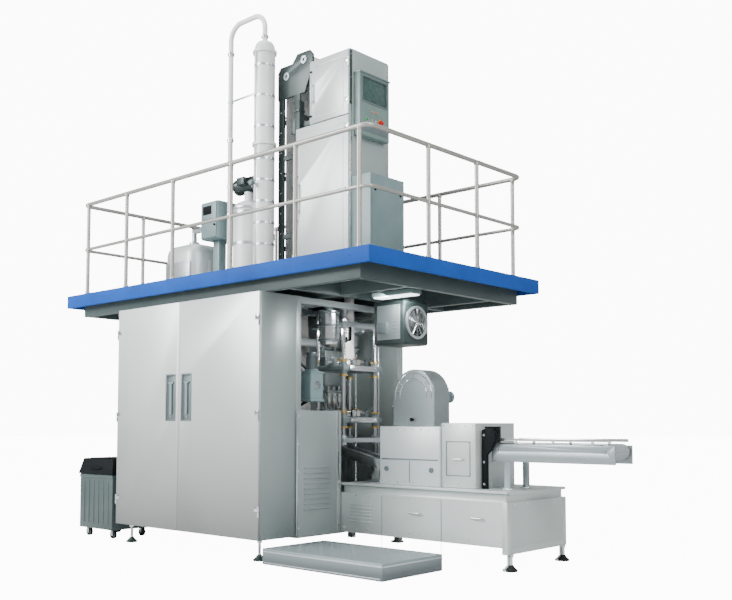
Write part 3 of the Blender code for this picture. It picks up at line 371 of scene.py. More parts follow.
class Piece:
    """Collects closed shapes in one mesh, then makes it one visible piece that rides on a body."""

    def __init__(self):
        self.bm = bmesh.new()

    def skin(self, rings, closed=False):
        """Joins rings of points with faces. An open row of rings gets a cap at each end."""
        rings = [[self.bm.verts.new(point) for point in ring] for ring in rings]
        for low, high in zip(rings, rings[1:] + rings[:closed]):
            for a, b, c, d in zip(low, low[1:] + low[:1], high[1:] + high[:1], high):
                self.bm.faces.new((a, b, c, d))
        if not closed:
            self.bm.faces.new(rings[0][::-1])
            self.bm.faces.new(rings[-1])
        return rings

    def block(self, x, y, z, bevel=0.0, segments=2, turn=None):
        x, y, z = sorted(x), sorted(y), sorted(z)
        made = bmesh.ops.create_cube(self.bm, size=1.0)["verts"]
        size = Vector((x[1] - x[0], y[1] - y[0], z[1] - z[0]))
        bmesh.ops.transform(self.bm, matrix=Matrix.Diagonal((*size, 1.0)), verts=made)
        if bevel:
            edges = list({edge for vert in made for edge in vert.link_edges})
            width = min(bevel, 0.45 * min(size))
            done = bmesh.ops.bevel(
                self.bm, geom=edges, offset=width, segments=segments, affect="EDGES", profile=0.5)
            made = list({v for face in done["faces"] for v in face.verts} | {v for v in made if v.is_valid})
        centre = Vector((middle_of(x), middle_of(y), middle_of(z)))
        move = Matrix.Translation(centre) @ (turn or Matrix.Identity(4))
        bmesh.ops.transform(self.bm, matrix=move, verts=made)
        return self

    def spun(self, middle, axis, angles, offset, half, bevel=0.0, segments=1, tilt=None):
        """A block of half sizes at an offset from the middle, repeated at each angle about an axis."""
        for angle in angles:
            turn = Matrix.Rotation(angle, 4, axis)
            extents = [near(c, h) for c, h in zip(Vector(middle) + turn @ Vector(offset), half)]
            self.block(*extents, bevel, segments, turn @ tilt if tilt else turn)
        return self

    def border(self, x, z, upright, bar, wide, tall, inset, bevel, facing_x=False):
        """Four strips round a rectangle. upright and bar are their depths, and the bars start inset from the
        rectangle's ends. x is read as y where the border faces along X."""
        strips = [((x[0], x[0] + wide), upright, z), ((x[1] - wide, x[1]), upright, z)]
        across = (x[0] + inset, x[1] - inset)
        strips += [(across, bar, (z[0], z[0] + tall)), (across, bar, (z[1] - tall, z[1]))]
        for across, depth, level in strips:
            self.block(*((depth, across) if facing_x else (across, depth)), level, bevel)
        return self

    def turned(self, base, tip, outline, segments, closed=True):
        """Turns (radius, distance from the base) points about the line from base to tip."""
        base, tip = Vector(base), Vector(tip)
        place = Matrix.Translation(base) @ (tip - base).to_track_quat("Z", "Y").to_matrix().to_4x4()
        self.skin([[place @ Vector((u, v, far)) for u, v in circle(radius, turns(segments))]
                   for radius, far in outline], closed)
        return self

    def lathe(self, base, tip, profile, segments=40):
        """A closed turned shape: profile is (radius, share of the way from base to tip) pairs."""
        length = (Vector(tip) - Vector(base)).length
        return self.turned(base, tip, [(radius, share * length) for radius, share in profile], segments, False)

    def rod(self, start, end, radius, segments=24, edge=0.0):
        """A cylinder with slightly rounded rims."""
        length = (Vector(end) - Vector(start)).length
        cut = min(edge or radius * 0.08, length * 0.3)
        share = cut / length
        profile = [(radius - cut, 0.0), (radius, share), (radius, 1.0 - share), (radius - cut, 1.0)]
        return self.lathe(start, end, profile, segments)

    def ring(self, base, tip, outer, inner, segments=40):
        """A closed tube with a wall, such as a bearing or a bezel."""
        length = (Vector(tip) - Vector(base)).length
        return self.turned(base, tip, [(outer, 0.0), (outer, length), (inner, length), (inner, 0.0)], segments)

    def tube(self, points, radius, segments=14):
        """A round bar or pipe swept along the points, with flat ends."""
        points = [Vector(point) for point in points]
        rings = []
        for index, here in enumerate(points):
            along = (points[min(index + 1, len(points) - 1)] - points[max(index - 1, 0)]).normalized()
            if not rings:
                normal = along.orthogonal().normalized()
            normal = (normal - along * normal.dot(along)).normalized()
            side = along.cross(normal)
            rings.append([here + (normal * math.cos(angle) + side * math.sin(angle)) * radius
                          for angle in turns(segments)])
        self.skin(rings)
        return self

    def pull(self, start, end, out, rounding, radius, steps=5, segments=14):
        """A bar handle: two legs that stand out from a face, and the grip between them."""
        start, end, out = Vector(start), Vector(end), Vector(out)
        return self.tube(rounded([start, start + out, end + out, end], rounding, steps), radius, segments)

    def slab(self, outline, low, high, facing_x=False, bevel=0.0):
        """A flat (x, z) outline extruded along Y, or a (y, z) outline extruded along X."""
        first, second = self.skin([[(level, u, v) if facing_x else (u, level, v) for u, v in outline]
                                   for level in (low, high)])
        if bevel:
            rims = [edge for edge in {e for v in first + second for e in v.link_edges}
                    if (edge.verts[0] in first) == (edge.verts[1] in first)]
            bmesh.ops.bevel(self.bm, geom=rims, offset=bevel, segments=2, affect="EDGES", profile=0.5)
        return self

    def bolt(self, place, axis, radius=0.008, height=0.006):
        """A six-sided bolt head that stands out from a face along the axis."""
        place, axis = Vector(place), Vector(axis)
        profile = [(radius * 1.5, 0.0), (radius * 1.5, 0.25), (radius, 0.26), (radius, 0.9), (radius * 0.85, 1.0)]
        return self.lathe(place - axis * 0.001, place + axis * height, profile, 6)

    def bolts(self, x, y, z, axis, radius, height):
        """A bolt head at every crossing of the given coordinates, each of them a number or a list."""
        for place in product(*([c] if isinstance(c, (int, float)) else c for c in (x, y, z))):
            self.bolt(place, axis, radius, height)
        return self

    def bolt_circle(self, place, axis, spread, angles, radius, height):
        """Bolt heads round a place, in the plane that the axis (one of X, Y and Z) stands on."""
        for u, v in circle(spread, angles):
            shift = (0, u, v) if axis[0] else (u, 0, v) if axis[1] else (u, v, 0)
            self.bolt(Vector(place) + Vector(shift), axis, radius, height)
        return self

    def hinge(self, leaves, place, way, length, radius, leaf, screws, screw_z, screw, segments):
        """Pins on this piece and a leaf with two screws on the other, which stand on one upright line."""
        x, y, z = place
        self.rod((x, y, z - length), (x, y, z - 0.001), radius, segments)
        leaves.rod((x, y, z + 0.001), (x, y, z + length), radius, segments)
        wide, low, high = leaf
        leaves.block((x + way * 0.004, x + way * wide), (y - 0.003, y + 0.002), (z + low, z + high), 0.001)
        leaves.bolts([x + way * shift for shift in screws], y - 0.003, z + screw_z, FRONT, screw, 0.0025)

    def finish(self, name, material, slot, body="machine", angle=32.0):
        bmesh.ops.recalc_face_normals(self.bm, faces=self.bm.faces)
        mesh = bpy.data.meshes.new(name)
        self.bm.to_mesh(mesh)
        self.bm.free()
        return show(name, mesh, material, body, angle)

    def stand_in(self, name, node, material, angle=32.0):
        """Finishes the piece in place of a CAD node."""
        made = self.finish(name, material, SLOT_OF[node], BODY_OF[node], angle)
        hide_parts(node)
        return made


def soften(node, material, width=0.004, segments=2):
    """Shows a CAD node through a copy of it whose sharp edges are rounded off."""
    bm = bmesh.new()
    bm.from_mesh(NODES[node].data)
    bmesh.ops.remove_doubles(bm, verts=bm.verts, dist=0.00002)
    bmesh.ops.dissolve_limit(bm, angle_limit=math.radians(1.0), verts=bm.verts, edges=bm.edges)
    mesh = bpy.data.meshes.new(node + "_sharp")
    bm.to_mesh(mesh)
    bm.free()
    sharp = bpy.data.objects.new(node + "_sharp", mesh)
    bpy.context.scene.collection.objects.link(sharp)
    step = sharp.modifiers.new("edges", "BEVEL")
    step.width = width
    step.segments = segments
    step.limit_method = "ANGLE"
    step.angle_limit = math.radians(32.0)
    step.use_clamp_overlap = True
    bpy.context.view_layer.update()
    final = bpy.data.meshes.new_from_object(sharp.evaluated_get(bpy.context.evaluated_depsgraph_get()))
    bpy.data.objects.remove(sharp)
    made = show(node + "_look", final, material, BODY_OF[node], 40.0)
    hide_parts(node)


def raised_lozenges(piece, xs, ys, top, half_long, half_wide, sunk, skipped=()):
    """Tread-plate lozenges that lie alternately one way and the other, with none in the skipped areas."""
    for (column, x), (row, y) in product(enumerate(xs), enumerate(ys)):
        if any(a[0] < x < a[1] and b[0] < y < b[1] for a, b in skipped):
            continue
        tilt = math.radians(45 if (column + row) % 2 else -45)
        long = Vector((math.cos(tilt), math.sin(tilt), 0)) * half_long
        wide = Vector((-math.sin(tilt), math.cos(tilt), 0)) * half_wide
        piece.skin([[Vector((x, y, top + height)) + corner * size for corner in (-long, -wide, long, wide)]
                    for size, height in ((1.0, -sunk), (0.6, 0.0022))])


# ---------------------------------------------------------------- carried-over sheet metal
for name, look, edge in (
    ("main_frame", "panel", 0.004), ("electrical_cabinet", "panel", 0.003),
    ("cabinet_door_left", "door", 0.004), ("cabinet_door_right", "door", 0.004),
    ("component_panel", "white", 0.003), ("reel_bay_door", "tower", 0.004), ("body_panels", "panel", 0.003),
    ("reel_stand", "steel", 0.003), ("deck_fascia", "blue", 0.006), ("deck_plate", "under", 0.002),
    ("deck_frame", "shaded_beam", 0.004), ("tower_housing", "panel", 0.004), ("tower_lower_door", "tower", 0.004),
    ("tower_upper_door", "tower", 0.004), ("control_panel", "pale", 0.005), ("valve_cabinet", "teal", 0.004),
    ("web_guide_frame", "dark", 0.003), ("jaw_guide_frame", "steel", 0.002), ("jaw_carriage_upper", "mid", 0.003),
    ("jaw_carriage_lower", "mid", 0.003), ("package_chute", "bright", 0.001), ("folding_table", "table", 0.005),
    ("folder_housing", "tower", 0.006), ("discharge_box", "table", 0.006), ("conveyor_frame", "guard", 0.003),
    ("transfer_guide", "black", 0.006), ("step_platform", "tread", 0.005), ("service_unit", "unit", 0.006),
    ("service_unit_lid", "black", 0.012), ("exhaust_fan", "dark", 0.030), ("forming_rings", "bright", 0.002),
    ("jaw_front_upper", "bright", 0.003), ("jaw_rear_upper", "bright", 0.003),
    ("jaw_front_lower", "bright", 0.003), ("jaw_rear_lower", "bright", 0.003),
    ("door_handle_left", "teal", 0.003), ("door_handle_right", "teal", 0.003),
):
    soften(name, look, edge)


# ---------------------------------------------------------------- guard rail, gate, ladder
def build_rail():
    top, floor = span("guard_rail")[2][1] - 0.0219, span("guard_rail")[2][0]
    left, right, front, back = -2.71, 1.362, -1.182, 0.972
    gate_edge, radius, drop = -2.06, 0.02, 0.48
    rail, plates, bolts = Piece(), Piece(), Piece()
    for height, thick in ((top, radius), (top - drop, 0.016)):
        corners = [(gate_edge, back), (right, back), (right, front), (left, front), (left, back)]
        rail.tube(rounded([(x, y, height) for x, y in corners], 0.09, 8), thick, 18)
    for x in (gate_edge, left):
        cap = [(radius * 0.6, 0.0), (radius, 0.5), (radius * 0.6, 1.0)]
        rail.lathe((x - 0.001, back, top), (x + 0.001, back, top), cap, 16)
    posts = [(x, front) for x in (-2.62, -1.91, -1.14, -0.28, 0.55, 1.27)]
    posts += [(x, back) for x in (-2.05, -1.30, -0.45, 0.40, 1.27)]
    posts += [(right, -0.43), (right, 0.26), (left, -0.44), (left, 0.26), (left, back - 0.01)]
    flange = [(0.05, 0.0), (0.05, 0.16), (0.047, 0.2), (0.026, 0.24), (0.0245, 0.9), (0.0205, 1.0)]
    for x, y in posts:
        rail.rod((x, y, floor), (x, y, top), radius * 0.95, 18)
        plates.lathe((x, y, floor), (x, y, floor + 0.05), flange, 28)
        bolts.bolt_circle((x, y, floor + 0.008), UP, 0.037, turns(4, math.pi / 4), 0.005, 0.006)
        for low, high, size in ((top - 0.03, top, 0.0235), (top - drop - 0.03, top - drop + 0.03, 0.0205)):
            rail.lathe((x, y, low), (x, y, high), [(0.0192, 0.0), (size, 0.2), (size, 0.8), (0.0192, 1.0)], 18)
    rail.stand_in("guard_rail_tubes", "guard_rail", "rail")
    plates.finish("rail_post_flanges", "rail", "rail_steel")
    bolts.finish("rail_post_bolts", "steel", "rail_steel")


def build_gate():
    x, y, z = span("ladder_gate")
    mid = middle_of(y)
    x0, x1 = x[0] + 0.0165, x[1] - 0.024
    hinge_x = x1 + 0.024
    low, high = z[0] + 0.016, z[1] - 0.016
    gate, pins = Piece(), Piece()
    ends = [(x1, mid, (low + high) / 2)]
    corners = [(x1, mid, high), (x0, mid, high), (x0, mid, low), (x1, mid, low)]
    gate.tube(rounded(ends + corners + ends, 0.05, 6), 0.016, 16)
    for height in steps_between(low, high, 4)[1:-1]:
        gate.rod((x0, mid, height), (x1, mid, height), 0.009, 12)
    for height in (low + 0.1, high - 0.1):
        gate.ring((hinge_x, mid, height - 0.03), (hinge_x, mid, height + 0.03), 0.014, 0.008, 20)
        gate.rod((x1, mid, height), (x1 + 0.014, mid, height), 0.010, 12)
        pins.rod((hinge_x, mid, height - 0.035), (hinge_x, mid, height + 0.035), 0.007, 14)
        pins.block((hinge_x, x1 + 0.05), near(mid, 0.006), (height - 0.045, height - 0.033), 0.002)
    gate.stand_in("ladder_gate_tubes", "ladder_gate", "rail")
    plate = Piece().block((x0 + 0.12, x1 - 0.12), near(mid, 0.004), (low + 0.20, low + 0.34), 0.003)
    plate.finish("gate_kick_plate", "blue", "rail_steel", "gate")
    pins.finish("gate_hinge_pins", "steel", "rail_steel")


def build_ladder():
    x = span("access_ladder")[0]
    x0, x1 = x[0] + 0.03, x[1] - 0.03
    foot_y, top_y, height = 1.265, 1.12, 2.48
    lean = math.atan2(foot_y - top_y, height)
    turn = Matrix.Rotation(lean, 4, "X")
    half = (height / math.cos(lean) - 0.012) / 2
    stringers, rungs = Piece(), Piece()
    for px in (x0, x1):
        centre = Vector((px, foot_y, 0.006)) + turn @ Vector((0, 0, half))
        stringers.block(near(px, 0.012), near(centre.y, 0.022), near(centre.z, half), 0.004, 2, turn)
        stringers.block(near(px, 0.03), (1.222, 1.30), (0.0, 0.014), 0.003)
    for level in steps_between(0.28, 2.24, 8):
        py = foot_y + (top_y - foot_y) * level / height
        rungs.rod((x0, py, level), (x1, py, level), 0.014, 20)
        for grip in steps_between(x0 + 0.08, x1 - 0.08, 9):
            ridge = [(0.014, 0.0), (0.0158, 0.2), (0.0158, 0.8), (0.014, 1.0)]
            rungs.lathe((grip - 0.012, py, level), (grip + 0.012, py, level), ridge, 16)
    stringers.stand_in("ladder_stringers", "access_ladder", "rail")
    rungs.finish("ladder_rungs", "steel", "rail_steel")


build_rail()
build_gate()
build_ladder()


# ---------------------------------------------------------------- cabinet
def build_cabinet_door(side, way):
    """Recess, lock, hinges, gasket and stiffeners of one door. way points from its hinge to its free edge."""
    body = "door_" + side
    x, y, z = span("cabinet_door_" + side)
    face, inner = y[0], y[1] + 0.0002
    mid = middle_of(span("door_handle_" + side)[0])
    # a grey bezel frames the recess, with a chromed lock below the lever
    upright, bar = (face - 0.004, face + 0.006), (face - 0.0038, face + 0.006)
    bezel = Piece().border(near(mid, 0.078), (1.178, 1.612), upright, bar, 0.016, 0.014, 0.008, 0.003)
    bezel.block(near(mid, 0.0645), (face + 0.011, face + 0.0155), (1.191, 1.599), 0.001)
    bezel.finish("handle_bezel_" + side, "mid", "black_plastic", body)
    lock = Piece().rod((mid, face + 0.013, 1.218), (mid, face + 0.002, 1.218), 0.011, 24)
    lock.block(near(mid, 0.0012), (face + 0.0012, face + 0.004), near(1.218, 0.007))
    lock.finish("handle_lock_" + side, "bright", "door_steel", body)
    # lift-off hinges on the outer edge
    outer = x[0] if way > 0 else x[1]
    pins, leaves, leaf, screws = Piece(), Piece(), (0.05, 0.002, 0.044), (0.02, 0.038)
    for level in (0.42, 1.22, 2.03):
        pins.hinge(leaves, (outer, face, level), way, 0.045, 0.0085, leaf, screws, 0.023, 0.004, 20)
    pins.finish("hinge_pins_" + side, "bright", "door_steel")
    leaves.finish("hinge_leaves_" + side, "bright", "door_steel", body)
    gasket = Piece()
    for px in (x[0] + 0.012, x[1] - 0.012):
        gasket.block(near(px, 0.004), (inner - 0.004, inner), (z[0] + 0.01, z[1] - 0.01), 0.001)
    for pz in (z[0] + 0.012, z[1] - 0.012):
        gasket.block((x[0] + 0.012, x[1] - 0.012), (inner - 0.0041, inner), near(pz, 0.004), 0.001)
    gasket.finish("door_gasket_" + side, "rubber", "door_steel", body)
    stiffeners = Piece()
    for px in (x[0] + 0.12, x[1] - 0.12):
        stiffeners.block(near(px, 0.02), (inner - 0.002, inner + 0.012), (z[0] + 0.15, z[1] - 0.15), 0.003)
    stiffeners.finish("door_stiffeners_" + side, "panel", "door_steel", body)


def build_component_panel():
    """Drive faces, contactor rows and terminals inside the cabinet."""
    y = span("component_panel")[1]
    front, face = y[0], y[1] - 0.10
    dark, levers, screws = Piece(), Piece(), Piece()
    for left in steps_between(-1.70, -0.82, 5):
        dark.block((left, left + 0.13), (front - 0.006, front + 0.01), (1.86, 1.97), 0.004)
        for level in steps_between(1.66, 1.804, 7):
            dark.block((left, left + 0.13), (front - 0.003, front + 0.004), (level, level + 0.010), 0.001)
    for level, left in product((0.45, 0.81, 1.17), steps_between(-1.70, -0.062, 22)):
        dark.block((left, left + 0.066), (face - 0.012, face + 0.01), (level + 0.015, level + 0.125), 0.004)
        levers.block(near(left + 0.033, 0.021), (face - 0.015, face - 0.01), near(level + 0.07, 0.015), 0.002)
        screws.bolts((left + 0.018, left + 0.048), face - 0.012, level + 0.105, FRONT, 0.004, 0.003)
    dark.finish("drive_and_contactor_faces", "dark", "white_panel")
    levers.finish("contactor_levers", "pale", "white_panel")
    screws.finish("terminal_screws", "brass", "white_panel")


def build_feet():
    disc = [(0.050, 0.0), (0.055, 0.06), (0.055, 0.28), (0.049, 0.36), (0.034, 0.62), (0.02, 1.0)]
    for node in ("levelling_foot_left", "levelling_foot_right"):
        x, y, z = span(node)
        px, py, top = middle_of(x), middle_of(y), z[1]
        stem = Piece().rod((px, py, 0.04), (px, py, top), 0.012, 20)
        for level in steps_between(0.052, top - 0.034, 12):
            stem.lathe((px, py, level), (px, py, level + 0.006), [(0.0118, 0.0), (0.0138, 0.5), (0.0118, 1.0)], 18)
        nut = [(0.0205, 0.0), (0.022, 0.1), (0.022, 0.9), (0.0205, 1.0)]
        stem.lathe((px, py, top - 0.030), (px, py, top - 0.012), nut, 6)
        stem.stand_in(node + "_stem", node, "bright")
        Piece().lathe((px, py, 0.0), (px, py, 0.05), disc, 36).finish(node + "_sole", "dark", SLOT_OF[node])
    x, y, z = span("folding_table")
    soles, stems = Piece(), Piece()
    px = x[1] - 0.0265
    disc = [(0.047, 0.0), (0.0515, 0.06), (0.0515, 0.30), (0.044, 0.40), (0.028, 0.7), (0.0185, 1.0)]
    for py in (y[0] + 0.0515, y[1] - 0.0515):
        soles.lathe((px, py, 0.0), (px, py, 0.052), disc, 36)
        stems.rod((px, py, 0.045), (px, py, 0.132), 0.0135, 20)
        nut = [(0.022, 0.0), (0.0235, 0.1), (0.0235, 0.9), (0.022, 1.0)]
        stems.lathe((px, py, 0.112), (px, py, 0.1305), nut, 6)
    soles.finish("table_foot_soles", "rubber", "dark_steel")
    stems.finish("table_foot_stems", "bright", "dark_steel")


def build_body_details():
    x, y, z = span("body_panels")
    screws = Piece()
    screws.bolts(x[0] + 0.0005, (y[0] + 0.025, 0.48), steps_between(0.25, z[1] - 0.05, 7), LEFT, 0.006, 0.004)
    screws.bolts(x[1] - 0.0005, (y[0] + 0.025, -0.32), steps_between(0.25, 1.22, 5), RIGHT, 0.006, 0.004)
    screws.finish("body_panel_screws", "bright", "stainless")
    # bright corner strips on the low side panel beside the jaw bay, and its louvres
    strips = Piece().block((x[1] - 0.004, x[1] + 0.004), (-0.335, -0.300), (z[0] + 0.02, 1.275), 0.003)
    strips.block((x[1] - 0.003, x[1] + 0.005), (-0.845, -0.825), (z[0] + 0.02, 1.275), 0.003)
    strips.finish("side_corner_strips", "bright", "stainless")
    louvres = Piece()
    for low in steps_between(0.40, 0.76, 9):
        high = low + 0.012
        outline = [(-0.75, low), (-0.42, low), (-0.42, high), (-0.75, high)]
        louvres.slab(outline, x[1] - 0.002, x[1] + 0.006, True, 0.002)
    louvres.finish("side_louvres", "panel", "stainless")
    # the reel door's pull and hinges, and its smoked window in a rubber strip
    edge, face = span("reel_bay_door")[0][0], 0.62
    upright, bar = (face - 0.012, face + 0.006), (face - 0.012, face + 0.0055)
    seal = Piece().border((-1.615, -0.735), (1.235, 2.065), upright, bar, 0.03, 0.03, 0.015, 0.004)
    seal.finish("reel_window_seal", "rubber", "stainless", "reel_door")
    pane = Piece().block((-1.595, -0.755), (face - 0.007, face - 0.001), (1.255, 2.045), 0.001, 1)
    pane.finish("reel_window_pane", "smoked", "black_plastic", "reel_door")
    knuckles = Piece()
    for level in (0.5, 1.25, 2.0):
        knuckles.rod((edge, face, level - 0.05), (edge, face, level + 0.05), 0.009, 20)
    knuckles.finish("reel_door_hinges", "bright", "stainless")
    grip = Piece().pull((-0.52, face, 1.02), (-0.52, face, 1.28), (0, 0.035, 0), 0.02, 0.008)
    grip.finish("reel_door_pull", "bright", "stainless", "reel_door")


def build_deck_details():
    x, y, z = span("deck_plate")
    low, pitch = z[0], 0.095
    xs = [x[0] + pitch * (column + 0.6) for column in range(int((x[1] - x[0]) / pitch))]
    ys = [y[0] + pitch * (row + 0.6) for row in range(int((y[1] - y[0]) / pitch))]
    # none under the tower, the web guide, the blower and the scrubber
    covered = [((-0.50, 0.52), (-0.25, 0.38)), ((-0.85, -0.46), (-0.17, 0.31))]
    covered += [((-1.83, -0.70), (-0.48, 0.10)), ((-2.40, -1.78), (-0.46, 0.06))]
    pattern = Piece()
    raised_lozenges(pattern, xs, ys, z[1], 0.022, 0.006, 0.0005, covered)
    pattern.finish("deck_tread_pattern", "under", "deck_plate")
    # cross ribs and a lamp on the deck's underside
    ribs = Piece()
    for px in steps_between(0.62, 1.22, 4) + steps_between(-2.55, -2.0, 4):
        foot, root = low - 0.028, low + 0.001
        ribs.slab([(px - 0.02, foot), (px + 0.02, foot), (px + 0.03, root), (px - 0.03, root)], -1.13, 0.60)
    ribs.finish("deck_under_ribs", "under", "dark_steel")
    lamp = Piece().block((0.66, 1.12), (-0.36, -0.22), (2.264, 2.306), 0.008)
    for px in (0.72, 1.06):
        lamp.block(near(px, 0.012), (-0.30, -0.28), (2.305, low + 0.0005), 0.002)
    lamp.finish("under_deck_lamp_body", "pale", "dark_steel")
    lens = Piece().block((0.675, 1.105), (-0.348, -0.232), (2.254, 2.268), 0.006)
    lens.finish("under_deck_lamp_lens", "lamp", "dark_steel")
    # rivets along the blue band, with none at the back where the ladder stands
    x, y, z = span("deck_fascia")
    xs = steps_between(x[0] + 0.2, x[1] - 0.2, 9)
    rivets = Piece().bolts(xs, y[0] + 0.001, middle_of(z), FRONT, 0.007, 0.001)
    rivets.bolts([px for px in xs if px >= -1.9], y[1] - 0.001, middle_of(z), REAR, 0.007, 0.001)
    rivets.finish("band_rivets", "blue", "deck_blue")


build_cabinet_door("left", 1)
build_cabinet_door("right", -1)
build_component_panel()
build_feet()
build_body_details()
build_deck_details()


# ---------------------------------------------------------------- units on the deck
def build_heater_column():
    x, y, (low, high) = span("air_heater_column")
    px, py = middle_of(x), middle_of(y)
    steps = [(low, 0.122), (low + 0.03, 0.122), (low + 0.031, 0.105), (3.95, 0.105), (3.951, 0.122), (3.98, 0.122)]
    steps += [(3.981, 0.105), (4.90, 0.105), (4.901, 0.122), (4.93, 0.122), (4.931, 0.104)]
    outline = [(radius, level - low) for level, radius in steps]
    outline += [(0.045 + 0.059 * math.cos(turn), 4.945 + (high - 4.945) * math.sin(turn) - low)
                for turn in steps_between(0.0, math.pi / 2, 7)[1:]]
    cladding = Piece().turned((px, py, low), (px, py, high), outline, 56, False)
    cladding.stand_in("heater_cladding", "air_heater_column", "white")
    bands, bolts = Piece(), Piece()
    for level in steps_between(low + 0.22, 3.80, 6) + steps_between(4.13, 4.76, 3):
        bands.ring((px, py, level), (px, py, level + 0.022), 0.1075, 0.1035, 56)
        bands.block((px + 0.104, px + 0.119), near(py, 0.012), (level, level + 0.022), 0.003)
    for level in (low + 0.03, 3.98, 4.93):
        bolts.bolt_circle((px, py, level), UP, 0.113, turns(8, math.pi / 8), 0.0055, 0.006)
    # the cladding's seam, and a probe with its junction head
    bands.block(near(px, 0.012), (py - 0.1075, py - 0.1035), (low + 0.035, 3.945), 0.002)
    bands.block(near(px, 0.0119), (py - 0.1074, py - 0.1034), (3.985, 4.895), 0.002)
    bands.rod((px, py - 0.10, 3.55), (px, py - 0.145, 3.55), 0.011, 18)
    bands.finish("heater_bands", "steel", "stainless")
    bolts.finish("heater_flange_bolts", "steel", "stainless")
    head = Piece().rod((px, py - 0.14, 3.55), (px, py - 0.185, 3.55), 0.026, 24, 0.004)
    head.rod((px, py - 0.160, 3.525), (px, py - 0.160, 3.500), 0.008, 16)
    head.finish("heater_probe_head", "mid", "stainless")


def build_air_pipe():
    x, y, z = span("sterile_air_pipe")
    radius, bend = 0.026, 0.16
    left, right, mid, top = x[0] + radius, x[1] - radius, middle_of(y), z[1] - radius
    bends = arc((right - bend, top - bend), bend, 0, 90, 14) + arc((left + bend, top - bend), bend, 90, 180, 14)
    path = [(right, span("air_heater_column")[2][1] + 0.0004), *bends, (left, z[0])]
    Piece().tube([(u, mid, v) for u, v in path], radius, 24).stand_in("air_pipe_run", "sterile_air_pipe", "white")
    joints = Piece()
    union = [(0.0262, 0.0), (0.031, 0.08), (0.031, 0.42), (0.037, 0.44)]
    union += [(radius, 1.0 - share) for radius, share in union[::-1]]
    for level in (2.66, 3.30, 4.10, 5.02):
        joints.lathe((left, mid, level), (left, mid, level + 0.05), union, 28)
    collar = [(0.0262, 0.0), (0.036, 0.1), (0.036, 0.9), (0.0262, 1.0)]
    joints.lathe((right, mid, z[0] + 2.45), (right, mid, z[0] + 2.48), collar, 28)
    joints.finish("air_pipe_unions", "bright", "rail_steel")
    # clamps tie the riser to the heater column
    braces = Piece()
    for level in (3.62, 4.52):
        braces.ring((left, mid, level), (left, mid, level + 0.025), 0.0305, 0.0262, 28)
        braces.block((left + 0.028, right - 0.100), near(mid, 0.004), (level + 0.002, level + 0.023), 0.002)
    braces.finish("air_pipe_braces", "steel", "rail_steel")


